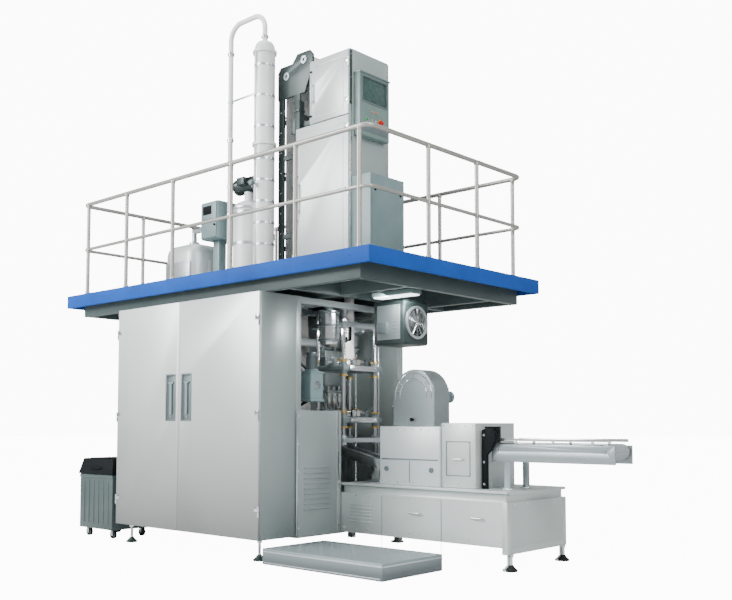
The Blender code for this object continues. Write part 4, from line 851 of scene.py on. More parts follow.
def build_blower():
    px, py, motor_z = -1.175, -0.20, 3.62
    vessel = Piece().block((-1.80, -1.00), (-0.44, 0.06), (span("blower_unit")[2][0], 2.53), 0.006)
    profile = [(0.150, 0.0), (0.165, 0.02), (0.165, 0.90)]
    profile += [(0.10 + 0.065 * math.cos(turn), 0.90 + 0.10 * math.sin(turn))
                for turn in steps_between(0.0, math.pi / 2, 8)[1:]]
    vessel.lathe((px, py, 2.531), (px, py, 3.43), profile, 56)
    vessel.lathe((px, py, 3.428), (px, py, 3.545), [(0.085, 0.0), (0.085, 0.12), (0.05, 0.14), (0.05, 1.0)], 32)
    vessel.stand_in("blower_vessel", "blower_unit", "white")
    bands = Piece()
    for level in (2.62, 2.98, 3.30):
        bands.ring((px, py, level), (px, py, level + 0.03), 0.1685, 0.1645, 56)
        bands.block((px + 0.164, px + 0.18), near(py, 0.014), (level, level + 0.03), 0.003)
    bands.ring((px, py, 3.355), (px, py, 3.372), 0.176, 0.163, 56)
    bands.rod((-1.405, -0.27, 2.5305), (-1.405, -0.27, 2.6196), 0.04, 28)
    bands.ring((-1.405, -0.27, 2.60), (-1.405, -0.27, 2.6196), 0.052, 0.039, 32)
    bands.tube(rounded([(-1.405, -0.27, 2.56), (-1.405, -0.20, 2.56), (-1.32, -0.20, 2.56)], 0.05, 6), 0.028, 20)
    bands.finish("blower_bands", "steel", "white_panel")
    motor = Piece().rod((-1.345, py, motor_z), (-1.055, py, motor_z), 0.074, 36, 0.008)
    cowl = [(0.085, 0.0), (0.085, 0.6), (0.074, 0.85), (0.05, 1.0)]
    motor.lathe((-1.06, py, motor_z), (-1.00, py, motor_z), cowl, 36)
    motor.rod((-1.35, py, motor_z), (-1.338, py, motor_z), 0.085, 36)
    motor.block(near(px, 0.055), (py - 0.130, py - 0.07), (3.60, 3.68), 0.006)
    motor.finish("blower_motor", "dark", "white_panel")
    # cooling fins all round, apart from where the terminal box sits
    angles = [angle for angle in turns(26) if abs(math.cos(angle) + 1.0) >= 0.12]
    fins = Piece().spun((-1.20, py, motor_z), "X", angles, (0, 0.078, 0), (0.125, 0.007, 0.0017))
    fins.finish("blower_motor_fins", "dark", "white_panel")
    px, pz = -1.04, 3.79
    case = Piece().rod((px, py, 3.69), (px, py, 3.75), 0.010, 18)
    rim = [(0.036, 0.012), (0.038, 0.0), (0.045, 0.002), (0.045, 0.050), (0.002, 0.050), (0.002, 0.012)]
    case.turned((px, py - 0.025, pz), (px, py + 0.025, pz), rim, 40)
    case.finish("blower_gauge_case", "black", "white_panel")
    dial = Piece().rod((px, py - 0.0145, pz), (px, py - 0.012, pz), 0.0362, 40)
    dial.finish("blower_gauge_dial", "clear", "white_panel")
    scale = [math.radians(angle) for angle in steps_between(-135, 135, 11)]
    marks = Piece().spun((px, py - 0.0148, pz), "Y", scale, (0, 0, 0.030), (0.0008, 0.0004, 0.004))
    pointer = Matrix.Rotation(0.6, 4, "Y")
    marks.block(near(px, 0.0012), (py - 0.0165, py - 0.0150), (3.782, 3.817), 0.0005, 1, pointer)
    marks.finish("blower_gauge_marks", "black", "white_panel")
    control = Piece().block((-1.70, -1.60), (-0.25, -0.15), (2.531, 3.102), 0.008)
    control.block((-1.72, -1.58), (-0.27, -0.13), (2.5305, 2.542), 0.003)
    control.block((-1.78, -1.51), (-0.345, -0.04), (3.10, 3.50), 0.010, 3)
    control.block((-1.768, -1.522), (-0.36, -0.344), (3.112, 3.488), 0.004)
    control.finish("blower_control_box", "teal", "white_panel")
    face = Piece().block((-1.735, -1.595), (-0.3635, -0.3585), (3.36, 3.45), 0.002)
    for px in (-1.715, -1.665, -1.615):
        face.rod((px, -0.359, 3.30), (px, -0.3665, 3.30), 0.010, 20)
    face.rod((-1.54, -0.359, 3.24), (-1.54, -0.372, 3.24), 0.012, 20)
    face.finish("blower_control_face", "black", "white_panel")


def build_scrubber():
    soften("scrubber_unit", "tower", 0.012, 3)
    x, y, z = span("scrubber_unit")
    px, py, top = middle_of(x), middle_of(y), z[1]
    cover = ((x[0] + 0.06, x[1] - 0.06), (y[0] - 0.004, y[0] + 0.002), (z[0] + 0.10, z[0] + 0.40))
    trim = Piece().block(*cover, 0.004)
    trim.bolts((x[0] + 0.10, x[1] - 0.10), y[0] - 0.004, (z[0] + 0.13, z[0] + 0.37), FRONT, 0.006, 0.004)
    trim.ring((px, py, top - 0.003), (px, py, top + 0.04), 0.055, 0.04, 36)
    trim.rod((px, py, top - 0.004), (px, py, top + 0.10), 0.028, 28)
    route = [(px, top + 0.09), (px, top + 0.16), (-1.80, top + 0.16), (-1.779, top + 0.16)]
    trim.tube(rounded([(u, -0.20, v) for u, v in route], 0.05, 7), 0.026, 22)
    trim.finish("scrubber_trim", "steel", "stainless")
    glass = Piece().block((x[1] - 0.001, x[1] + 0.006), (-0.215, -0.185), (z[0] + 0.12, z[0] + 0.42), 0.003)
    glass.finish("scrubber_level_glass", "clear", "stainless")


# ---------------------------------------------------------------- reel, web, tube
def build_reel():
    x, y, z = span("paper_reel")
    px, pz, width = middle_of(x), middle_of(z), y[1] - y[0]
    outer, bore, groove = (x[1] - x[0]) / 2, 0.0765, 0.0022
    # the wound layers show as fine grooves on both faces
    rims = steps_between(outer - 0.002, bore + 0.014, 40)
    face = [(radius, 0.0 if index % 2 else groove) for index, radius in enumerate(rims)]
    outline = [*face, (bore + 0.012, 0.0), (bore + 0.012, width)]
    outline += [(radius, width - depth) for radius, depth in face[::-1]]
    outline += [(outer, width - 0.003), (outer, 0.003)]
    roll = Piece().turned((px, y[0], pz), (px, y[1], pz), outline, 96)
    roll.stand_in("carton_reel", "paper_reel", "board", 20.0)
    core = Piece().ring((px, y[0] - 0.001, pz), (px, y[1] + 0.001, pz), bore + 0.0118, bore, 56)
    core.finish("carton_reel_core", "pale", "carton", "reel")
    ends = span("reel_shaft")[1]
    shaft = Piece().rod((px, ends[0], pz), (px, ends[1], pz), 0.025, 32)
    chuck = [(0.06, 0.0), (0.0755, 0.04), (0.0755, 0.96), (0.06, 1.0)]
    shaft.lathe((px, y[0] + 0.01, pz), (px, y[1] - 0.01, pz), chuck, 48)
    for py in (ends[0] + 0.006, ends[1] - 0.018):
        shaft.ring((px, py, pz), (px, py + 0.012, pz), 0.034, 0.0248, 32)
    shaft.stand_in("reel_spindle", "reel_shaft", "steel")
    key = (0.002, width / 2 - 0.03, 0.010)
    keys = Piece().spun((px, middle_of(y), pz), "Y", turns(6), (0.074, 0, 0), key, 0.001)
    keys.finish("spindle_expansion_keys", "dark", "dark_steel", "reel")
    caps = Piece()
    for py, way in ((-0.186, -1), (0.3265, 1)):
        caps.block(near(px, 0.048), near(py, 0.003), (pz - 0.055, pz - 0.033), 0.002)
        caps.bolts(near(px, 0.034), py + way * 0.003, pz - 0.044, (0, way, 0), 0.006, 0.005)
    caps.finish("spindle_bearing_caps", "mid", "stainless")


def build_web():
    half, thick, wrap = 0.16, 0.0007, 0.062     # half the width, half the thickness, the path's radius on a roller
    outer, inner = WEB_ROLLERS
    path = [(-0.687, 1.02), (-0.71, 1.7), (outer[0] - wrap, 2.2), (outer[0] - wrap, 3.4)]
    path += arc(outer, wrap, 180, 114, 12) + arc(inner, wrap, 114, 24, 16)
    out, back = steps_between(-1.0, 1.0, 33), steps_between(1.0, -1.0, 33)
    rows = []
    # the flat run: the thickness follows the path's own direction
    for index, (px, pz) in enumerate(path):
        ahead, behind = path[min(index + 1, len(path) - 1)], path[max(index - 1, 0)]
        across = Vector((behind[1] - ahead[1], ahead[0] - behind[0])).normalized() * thick
        rows.append([(px + way * across.x, MIDDLE_Y + half * share, pz + way * across.y)
                     for way, shares in ((-1, out), (1, back)) for share in shares])
    # then the web curls from flat to a nearly closed tube
    (px, pz), (end_x, end_z) = path[-1], (TUBE_X - 0.0505, 4.06)
    for step in range(1, 29):
        share = step / 28
        curl = max(0.0, (share - 0.30) / 0.70)
        angle = max(0.02, curl * curl * (3 - 2 * curl) * math.tau * 0.985)
        radius = 2 * half / angle
        left, level = px + (end_x - px) * share, pz + (end_z - pz) * share
        rows.append([(left + radius - u, MIDDLE_Y + v, level)
                     for reach, swings in ((radius + thick, out), (radius - thick, back))
                     for u, v in circle(reach, [angle * swing / 2 for swing in swings])])
    web = Piece()
    web.skin(rows)
    web.stand_in("web_strip", "carton_web", "board", 50.0)
    tube = Piece()
    wall = [(0.048, 0.0), (0.048, 2.046), (0.0465, 2.046), (0.0465, 0.0)]
    tube.turned((TUBE_X, MIDDLE_Y, 2.012), (TUBE_X, MIDDLE_Y, 4.058), wall, 48)
    tube.block((0.0370, 0.0386), near(MIDDLE_Y, 0.006), (2.02, 4.05), 0.0004)
    # the tube's end flattens between the jaws
    rings = []
    for share in steps_between(0.0, 1.0, 15):
        flat = share * share * (3 - 2 * share)
        wide, thin = 0.048 + 0.020 * flat, 0.048 * (1 - flat) + 0.0022 * flat
        rings.append([(TUBE_X + wide * u, MIDDLE_Y + thin * v, 2.014 - 0.225 * share)
                      for u, v in circle(1.0, turns(48))])
    tube.skin(rings)
    tube.block(near(TUBE_X, 0.068), near(MIDDLE_Y, 0.0021), (1.716, 1.792), 0.001)
    tube.finish("carton_tube", "board", "carton")
    creases = Piece()
    for level in steps_between(1.722, 1.784, 9):
        creases.block(near(TUBE_X, 0.064), near(MIDDLE_Y, 0.0030), (level, level + 0.003), 0.0008)
    creases.finish("tube_seal_ribs", "board", "carton")


def build_tube_tools():
    line = [(TUBE_X, MIDDLE_Y, 2.15), (TUBE_X, MIDDLE_Y, 4.36), (TUBE_X, 0.27, 4.36)]
    pipe = Piece().tube(rounded(line, 0.06, 12), 0.019, 28)
    pipe.ring((TUBE_X, 0.255, 4.36), (TUBE_X, 0.2695, 4.36), 0.032, 0.0188, 32)
    pipe.ring((TUBE_X, MIDDLE_Y, 4.19), (TUBE_X, MIDDLE_Y, 4.215), 0.030, 0.0188, 32)
    pipe.stand_in("product_pipe", "filling_pipe", "bright")
    for node, (px, pz) in zip(("web_roller_outer", "web_roller_inner"), WEB_ROLLERS):
        x, y, z = span(node)
        radius = (z[1] - z[0]) / 2
        low, high = near(MIDDLE_Y, 0.17)
        profile = [(0.045, 0.0), (radius - 0.003, 0.004), (radius, 0.014)]
        profile += [(width, 1.0 - share) for width, share in profile[::-1]]
        drum = Piece().lathe((px, low, pz), (px, high, pz), profile, 56)
        drum.rod((px, y[0], pz), (px, y[1], pz), 0.0158, 24)
        drum.stand_in(node + "_drum", node, "steel")
        holes = Piece()
        for py, (u, v) in product((low - 0.0008, high + 0.0008), circle(0.031, turns(5), (px, pz))):
            holes.rod((u, py - 0.0015, v), (u, py + 0.0015, v), 0.009, 18)
        holes.finish(node + "_lightening_holes", "dark", "dark_steel", BODY_OF[node])


build_heater_column()
build_air_pipe()
build_blower()
build_scrubber()
build_reel()
build_web()
build_tube_tools()


# ---------------------------------------------------------------- jaw bay
def build_guide_rods(posts):
    rods, nuts = Piece(), Piece()
    nut = [(0.034, 0.0), (0.034, 0.85), (0.029, 1.0)]
    for px, py in posts:
        rods.rod((px, py, 1.021), (px, py, 2.059), 0.0182, 28)
        nuts.lathe((px, py, 2.11), (px, py, 2.135), nut, 6)
        nuts.lathe((px, py, 1.0205), (px, py, 1.046), [(0.034, 0.0), (0.034, 0.1), *nut[1:]], 6)
        nuts.lathe((px, py, 0.98), (px, py, 0.955), nut, 6)
    rods.finish("guide_rods", "bright", "stainless")
    nuts.finish("guide_rod_nuts", "steel", "stainless")


def build_carriage(level, z, posts):
    body = "carriage_" + level
    bushes = Piece()
    for px, py in posts:
        bushes.ring((px, py, z), (px, py, z + 0.016), 0.043, 0.0195, 36)
        bushes.ring((px, py, z - 0.136), (px, py, z - 0.12), 0.043, 0.0195, 36)
        bushes.bolt_circle((px, py, z + 0.016), UP, 0.0365, turns(4, math.pi / 4), 0.0035, 0.004)
    bushes.finish("carriage_bushes_" + level, "brass", "dark_steel", body)
    # air cylinders on the carriage's ends drive the jaws
    cylinders, ends = Piece(), Piece()
    for way in (-1, 1):
        def at(distance, dx=0.0, dz=0.0):
            return TUBE_X + dx, MIDDLE_Y + way * distance, z + dz

        cylinders.ring(at(0.246), at(0.318), 0.036, 0.0168, 36)
        cylinders.rod(at(0.3175), at(0.36), 0.0355, 36)
        ends.ring(at(0.246), at(0.262), 0.050, 0.0165, 36)
        ends.block(near(TUBE_X, 0.042), (at(0.348)[1], at(0.364)[1]), near(z, 0.042), 0.004)
        for dx, dz in product((-0.033, 0.033), repeat=2):
            ends.rod(at(0.246, dx, dz), at(0.368, dx, dz), 0.0045, 12)
        for distance, dx in ((0.275, 0.02), (0.335, -0.02)):
            ends.rod(at(distance, dx, 0.034), at(distance, dx, 0.058), 0.007, 14)
    cylinders.finish("jaw_cylinders_" + level, "bright", "dark_steel", body)
    ends.finish("jaw_cylinder_ends_" + level, "mid", "dark_steel", body)
    bars = Piece()
    for px, way in ((0.17, 1), (-0.255, -1)):
        bars.block((px, px + way * 0.014), (-0.12, 0.26), (z - 0.083, z - 0.037), 0.003)
        bars.bolts(px + way * 0.014, (-0.09, 0.07, 0.23), z - 0.06, (way, 0, 0), 0.008, 0.008)
    bars.finish("carriage_side_bars_" + level, "bright", "dark_steel", body)
    for side, way in (("front", -1), ("rear", 1)):
        jaw = f"{side}_{level}"

        def depth(*distances):
            return [MIDDLE_Y + way * distance for distance in distances]

        clamp, heater = Piece(), Piece()
        clamp.block(near(TUBE_X, 0.088), depth(0.008, 0.044), (z + 0.0295, z + 0.036), 0.002)
        clamp.bolts(steps_between(*near(TUBE_X, 0.078), 7), depth(0.028), z + 0.036, UP, 0.0042, 0.005)
        clamp.finish("jaw_clamp_" + jaw, "dark", "stainless", BODY_OF["jaw_" + jaw])
        heater.block(near(TUBE_X, 0.052), depth(0.054, 0.125), (z + 0.0195, z + 0.030), 0.003)
        heater.block(near(TUBE_X, 0.03), depth(0.062, 0.105), (z + 0.029, z + 0.050), 0.004)
        heater.finish("jaw_heater_" + jaw, "brass", "stainless", BODY_OF["jaw_" + jaw])


def build_bay_fittings():
    # upright drive cylinders hang from the top rail
    drive, caps, high = Piece(), Piece(), 2.19
    places = ((-0.33, -0.42, 1.96, 0.088), (0.125, -0.345, 1.90, 0.095), (-0.33, 0.46, 1.90, 0.070))
    for px, py, low, radius in places:
        drive.rod((px, py, low), (px, py, high), radius, 48, 0.006)
        nose = [(radius * 0.86, 0.0), (radius * 0.80, 0.4), (radius * 0.45, 0.9), (radius * 0.3, 1.0)]
        drive.lathe((px, py, low + 0.004), (px, py, low - 0.055), nose, 40)
        for level in (low + 0.012, (low + high) / 2, high - 0.03):
            caps.ring((px, py, level), (px, py, level + 0.018), radius + 0.006, radius - 0.002, 48)
        caps.rod((px, py, high - 0.002), (px, py, high + 0.055), radius * 0.4, 28)
    drive.finish("bay_drive_cylinders", "bright", "stainless")
    caps.finish("bay_cylinder_clamps", "mid", "stainless")
    plates = Piece().block((-0.44, 0.14), (-0.56, -0.36), (2.236, 2.262), 0.003)
    plates.block((-0.44, -0.20), (0.36, 0.54), (2.236, 2.262), 0.003)
    for low in (1.16, 1.92):
        plates.block((-0.455, -0.435), (-0.62, 0.55), (low, low + 0.07), 0.003)
    plates.finish("bay_mounting_plates", "steel", "stainless")
    # valve block on the bay's left wall, with rigid pipes up to the top rails and down to the floor rail
    block, fittings, pipes = Piece(), Piece(), Piece()
    block.block((-0.436, -0.385), (-0.58, -0.28), (1.46, 1.62), 0.004)
    for index, py in enumerate(steps_between(-0.555, -0.305, 6)):
        block.block((-0.386, -0.345), near(py, 0.019), (1.485, 1.595), 0.004)
        fittings.rod((-0.346, py, 1.51), (-0.322, py, 1.51), 0.009, 16)
        fittings.rod((-0.346, py, 1.57), (-0.330, py, 1.57), 0.007, 16)
        px, level = (-0.29, 0.92 - 0.03 * index) if index % 2 else (-0.30, 1.68 + 0.02 * index)
        route = [(-0.324, py, 1.51), (px, py, 1.51), (px, py, level), (-0.43, py, level)]
        pipes.tube(rounded(route, 0.03, 5), 0.0055, 10)
    block.finish("bay_valve_block", "mid", "stainless")
    fittings.finish("bay_valve_fittings", "brass", "stainless")
    pipes.finish("bay_air_pipes", "bright", "stainless")
    water = Piece()
    for px, py in ((-0.40, -0.64), (-0.36, -0.68), (-0.05, 0.50), (0.02, 0.46)):
        route = [(px, py, 2.18), (px, py, 0.62), (px + 0.05, py, 0.56), (px + 0.10, py, 0.56)]
        water.tube(rounded(route, 0.05, 6), 0.012, 16)
        for level in (0.85, 1.45, 2.02):
            nut = [(0.0118, 0.0), (0.018, 0.15), (0.018, 0.85), (0.0118, 1.0)]
            water.lathe((px, py, level), (px, py, level + 0.03), nut, 6)
    water.finish("bay_water_pipes", "bright", "stainless")


def build_bay_gearbox():
    """The gearbox that shuts the package's folds, its motor, and the stays that hold both."""
    px, py = 0.10, -0.54
    gearbox = Piece().block(near(px, 0.07), near(py, 0.08), (1.36, 1.62), 0.012, 3)
    for rim in ((1.352, 1.372), (1.606, 1.624)):
        gearbox.block(near(px, 0.078), near(py, 0.088), rim, 0.004)
    gearbox.rod((px, py, 1.622), (px, py, 1.644), 0.062, 36)
    gearbox.bolt_circle((px, py, 1.624), UP, 0.069, turns(4, math.pi / 4), 0.006, 0.007)
    gearbox.finish("bay_gearbox", "teal", "dark_steel")
    profile = [(0.045, 0.0), (0.045, 0.80), (0.052, 0.82), (0.052, 0.96), (0.04, 1.0)]
    motor = Piece().lathe((px, py, 1.644), (px, py, 1.80), profile, 36)
    motor.spun((px, py, 1.708), "Z", turns(20), (0.047, 0, 0), (0.006, 0.0013, 0.056))
    motor.finish("bay_gearbox_motor", "mid", "dark_steel")
    covers = Piece().rod((px, py + 0.079, 1.48), (px, py + 0.092, 1.48), 0.050, 40)
    covers.rod((px, py + 0.091, 1.48), (px, py + 0.104, 1.48), 0.016, 24)
    covers.rod((px + 0.069, py, 1.50), (px + 0.084, py, 1.50), 0.036, 36)
    covers.bolt_circle((px + 0.084, py, 1.50), RIGHT, 0.026, turns(6), 0.004, 0.004)
    covers.finish("bay_gearbox_covers", "bright", "stainless")
    stays = Piece()
    for side in near(py, 0.05):
        stays.tube([(px - 0.055, side, 1.61), (-0.434, side, 1.955)], 0.013, 16)
        stays.tube([(px - 0.06, side, 1.38), (-0.434, side, 1.195)], 0.013, 16)
        stays.block((px - 0.072, px - 0.05), near(side, 0.018), (1.59, 1.63), 0.004)
    stays.finish("bay_stays", "dark", "dark_steel")


def build_bay_units():
    # junction box and filter bowls on two uprights at the bay's left wall
    wall, bowls = Piece(), Piece()
    for py in (0.135, 0.305):
        wall.block((-0.4355, -0.42), near(py, 0.015), (1.19, 1.955), 0.003)
    wall.block((-0.421, -0.362), (0.10, 0.34), (1.53, 1.88), 0.006)
    wall.block((-0.363, -0.356), (0.108, 0.332), (1.538, 1.872), 0.003)
    wall.bolts(-0.356, (0.122, 0.318), (1.553, 1.857), RIGHT, 0.005, 0.004)
    wall.block((-0.421, -0.325), (0.10, 0.34), (1.455, 1.485), 0.004)
    wall.finish("bay_junction_box", "guard", "dark_steel")
    bowl = [(0.033, 0.0), (0.033, 0.16), (0.029, 0.18), (0.029, 0.86), (0.022, 0.96), (0.008, 1.0)]
    for py in (0.145, 0.22, 0.295):
        bowls.lathe((-0.36, py, 1.456), (-0.36, py, 1.30), bowl, 32)
        bowls.rod((-0.36, py, 1.484), (-0.36, py, 1.531), 0.009, 16)
    bowls.finish("bay_filter_bowls", "bright", "stainless")
    # photocell and its bracket, aimed at the tube
    eye = Piece().block((0.085, 0.14), (-0.085, -0.065), (1.93, 1.95), 0.003)
    eye.block((0.04, 0.09), (-0.095, -0.055), (1.92, 1.975), 0.005)
    eye.rod((0.042, -0.075, 1.95), (0.030, -0.075, 1.95), 0.009, 18)
    eye.block((0.125, 0.145), (-0.09, -0.06), (1.94, 2.062), 0.003)
    eye.finish("seal_photocell", "black", "stainless")
    # two rollers below the head plate steady the tube
    rollers = Piece()
    for py in (-0.03, 0.17):
        rollers.rod((-0.10, py, 2.03), (0.08, py, 2.03), 0.009, 18)
        for px in (-0.10, 0.08):
            rollers.rod((px, py, 2.022), (px, py, 2.062), 0.012, 18)
    rollers.finish("tube_guide_rollers", "bright", "stainless")


def build_chute_details():
    trim = Piece()
    for py in (-0.0058, 0.1458):
        trim.tube([(-0.10, py, 0.955), (0.60, py, 0.795)], 0.006, 14)
    for share in steps_between(0.5 / 9, 8.5 / 9, 9):
        px, pz = -0.10 + 0.70 * share, 0.8675 - 0.16 * share
        trim.rod((px, 0.012, pz), (px, 0.128, pz), 0.0035, 10)
    trim.finish("chute_rails", "steel", "stainless")
    foot = Piece().block((0.27, 0.37), (0.02, 0.12), (0.6205, 0.632), 0.002)
    foot.bolts((0.285, 0.355), (0.03, 0.11), 0.632, UP, 0.006, 0.005)
    foot.finish("chute_foot", "steel", "stainless")


# ---------------------------------------------------------------- folder
DRUM_X, DRUM_Z, ARCH_FOOT = 0.89, 1.40, 1.1304


def arch(radius):
    """(x, z) points of a half circle round the drum, with straight legs."""
    curve = arc((DRUM_X, DRUM_Z), radius, 180, 0, 40)
    return [(DRUM_X - radius, ARCH_FOOT), *curve, (DRUM_X + radius, ARCH_FOOT)]


def build_folder_guard():
    outer, inner, edge, front, rear = 0.235, 0.222, 0.010, -0.06, 0.1546
    # rings from the rear rim to the front face, whose edge is rounded, and then the hollow behind it
    rings = [[(u, rear, v) for u, v in arch(outer)]]
    for turn in steps_between(0.0, math.pi / 2, 6):
        size, py = 1 - edge * (1 - math.cos(turn)) / outer, front + edge * (1 - math.sin(turn))
        rings.append([(DRUM_X + (u - DRUM_X) * size, py, DRUM_Z + (v - DRUM_Z) * size if v > DRUM_Z else v)
                      for u, v in arch(outer)])
    rings += [[(u, py, v) for u, v in arch(inner)] for py in (front + 0.012, rear)]
    guard = Piece()
    made = [[guard.bm.verts.new(point) for point in ring] for ring in rings]
    face, hollow = 6, 7
    for low, high in [*zip(made[:face], made[1:hollow]), *zip(made[hollow:], made[hollow + 1:] + made[:1])]:
        for corners in zip(low, low[1:], high[1:], high):
            guard.bm.faces.new(corners)
    guard.bm.faces.new(made[face])
    guard.bm.faces.new(made[hollow][::-1])
    # close the two feet of the arch
    for end in (0, -1):
        guard.bm.faces.new([ring[end] for ring in made])
    guard.stand_in("folder_guard_shell", "folder_guard", "guard")
    profile = [(0.010, 0.0), (0.008, 0.5), (0.016, 0.62), (0.0165, 0.9), (0.013, 1.0)]
    knob = Piece().lathe((DRUM_X, front + 0.004, 1.19), (DRUM_X, -0.095, 1.19), profile, 32)
    knob.finish("folder_guard_knob", "black", "dark_steel", "guard")
    ribs, py = Piece(), front - 0.0005
    for radius in (0.205, 0.150):
        ribs.tube([(u, py, v) for u, v in arc((DRUM_X, DRUM_Z), radius, 188, -8, 36)], 0.0045, 10)
    spokes = steps_between(math.pi / 14, math.pi * 13 / 14, 7)
    for ends in zip(*(circle(radius, spokes, (DRUM_X, DRUM_Z)) for radius in (0.155, 0.20))):
        ribs.tube([(u, py, v) for u, v in ends], 0.004, 10)
    ribs.bolts(near(DRUM_X, 0.2245), front, (1.155, 1.30), FRONT, 0.0045, 0.004)
    ribs.finish("folder_guard_ribs", "bright", "dark_steel", "guard")


def build_folder_drum():
    px, pz = DRUM_X, DRUM_Z
    hub = [(0.052, 0.0), (0.07, 0.05), (0.07, 0.95), (0.052, 1.0)]
    drum = Piece().lathe((px, 0.0, pz), (px, 0.14, pz), hub, 48)
    drum.rod((px, -0.01, pz), (px, 0.215, pz), 0.0198, 28)
    drum.spun((px, 0.07, pz), "Y", turns(8), (0.13, 0, 0), (0.068, 0.068, 0.0065), 0.003, 2)
    drum.stand_in("pocket_wheel", "folder_drum", "bright")
    bolts = Piece().bolt_circle((px, 0.0, pz), FRONT, 0.045, turns(8, math.pi / 8), 0.005, 0.005)
    bolts.finish("pocket_wheel_bolts", "steel", "stainless", "drum")
    motor = Piece().slab(arch(0.225), 0.155, 0.167)
    motor.block(near(px, 0.06), (0.166, 0.295), near(pz, 0.07), 0.010, 3)
    motor.block(near(px, 0.055), (0.1645, 0.285), (ARCH_FOOT, ARCH_FOOT + 0.02), 0.003)
    profile = [(0.0545, 0.0), (0.055, 0.05), (0.048, 0.09), (0.048, 0.78)]
    profile += [(0.055, 0.80), (0.055, 0.95), (0.045, 1.0)]
    motor.lathe((px, 0.285, pz), (px, 0.485, pz), profile, 44)
    motor.block(near(px, 0.035), (0.33, 0.42), (pz + 0.04, pz + 0.085), 0.006)
    motor.stand_in("drum_drive", "drum_gearmotor", "teal")
    fins = Piece().spun((px, 0.372, pz), "Y", turns(24), (0.050, 0, 0), (0.005, 0.066, 0.0013))
    fins.finish("drum_drive_fins", "teal", "dark_steel")


def build_folder_seams():
    x, y, z = span("folder_housing")
    face = y[0]
    seams, screws = Piece(), Piece()
    seams.block((x[0] + 0.02, x[1] - 0.02), (face - 0.003, face + 0.002), (0.84, 0.852), 0.002)
    seams.block((0.955, 0.965), (face - 0.0028, face + 0.002), (0.645, 0.838), 0.002)
    seams.block((x[0] - 0.003, x[0] + 0.004), (-0.17, 0.43), (0.905, 0.925), 0.002)
    for px in (0.70, 1.20):
        seams.ring((px, face - 0.010, 0.76), (px, face + 0.002, 0.76), 0.022, 0.013, 28)
        seams.rod((px, face - 0.006, 0.76), (px, face + 0.002, 0.76), 0.0135, 24)
    screws.bolts(steps_between(x[0] + 0.03, x[1] - 0.03, 8), face, (0.65, 1.105), FRONT, 0.0045, 0.0035)
    x, y, z = span("discharge_box")
    face = y[0]
    screws.bolts(steps_between(x[0] + 0.025, x[1] - 0.025, 5), face, (0.65, 1.135), FRONT, 0.0045, 0.0035)
    screws.bolts(x[1], steps_between(y[0] + 0.03, y[1] - 0.03, 6), 0.65, RIGHT, 0.0045, 0.0035)
    # a door's seam, whose four strips overlap at their ends
    seams.block((x[0] + 0.05, x[1] - 0.05), (face - 0.004, face + 0.002), (1.00, 1.008), 0.002)
    for left in (x[0] + 0.05, x[1] - 0.058):
        seams.block((left, left + 0.008), (face - 0.0039, face + 0.002), (0.72, 1.008), 0.002)
    seams.block((x[0] + 0.0502, x[1] - 0.0502), (face - 0.0038, face + 0.002), (0.72, 0.728), 0.002)
    seams.finish("folder_seams", "mid", "door_steel")
    screws.finish("folder_screws", "bright", "door_steel")
    grip = Piece().pull((1.42, face, 0.86), (1.52, face, 0.86), (0, -0.026, 0), 0.012, 0.006)
    grip.finish("discharge_pull", "bright", "stainless")


def build_jaw_bay():
    posts = list(product((-0.21, 0.125), (-0.15, 0.29)))
    build_guide_rods(posts)
    build_carriage("upper", 1.735, posts)
    build_carriage("lower", 1.25, posts)
    build_bay_fittings()
    build_bay_gearbox()
    build_bay_units()


build_jaw_bay()
build_chute_details()
build_folder_guard()
build_folder_drum()
build_folder_seams()


# ---------------------------------------------------------------- table, outfeed
def build_table_details():
    x, y, z = span("folding_table")
    left, face = x[0], y[0]
    # folded rim under the top, panel seams and screws on the front and the end
    trim = Piece().block((left + 0.002, x[1] - 0.002), (face, face + 0.006), (0.596, 0.6035), 0.002)
    for px in (left + 0.5, left + 1.15):
        trim.block((px, px + 0.004), near(face, 0.001), (z[0] + 0.07, 0.53), 0.0005)
    trim.finish("table_seams", "mid", "stainless")
    xs = steps_between(left + 0.04, x[1] - 0.10, 12)
    screws = Piece().bolts(xs, face + 0.0005, (0.22, 0.515), FRONT, 0.0045, 0.0035)
    screws.bolts(x[1], steps_between(face + 0.08, y[1] - 0.08, 5), 0.515, RIGHT, 0.0045, 0.0035)
    screws.bolts(steps_between(left + 0.05, x[1] - 0.05, 10), (face + 0.03, y[1] - 0.03), z[1], UP, 0.005, 0.0035)
    screws.finish("table_screws", "bright", "stainless")
    pulls = Piece()
    for px in (left + 0.82, left + 1.45):
        pulls.pull((px, face, 0.40), (px + 0.12, face, 0.40), (0, -0.028, 0), 0.012, 0.006)
    pulls.finish("table_panel_pulls", "bright", "stainless")
    louvres = Piece()
    for level in steps_between(0.28, 0.43, 6):
        louvres.block((left + 0.12, left + 0.38), (face - 0.005, face + 0.001), (level, level + 0.012), 0.0025)
    louvres.finish("table_louvres", "table", "stainless")


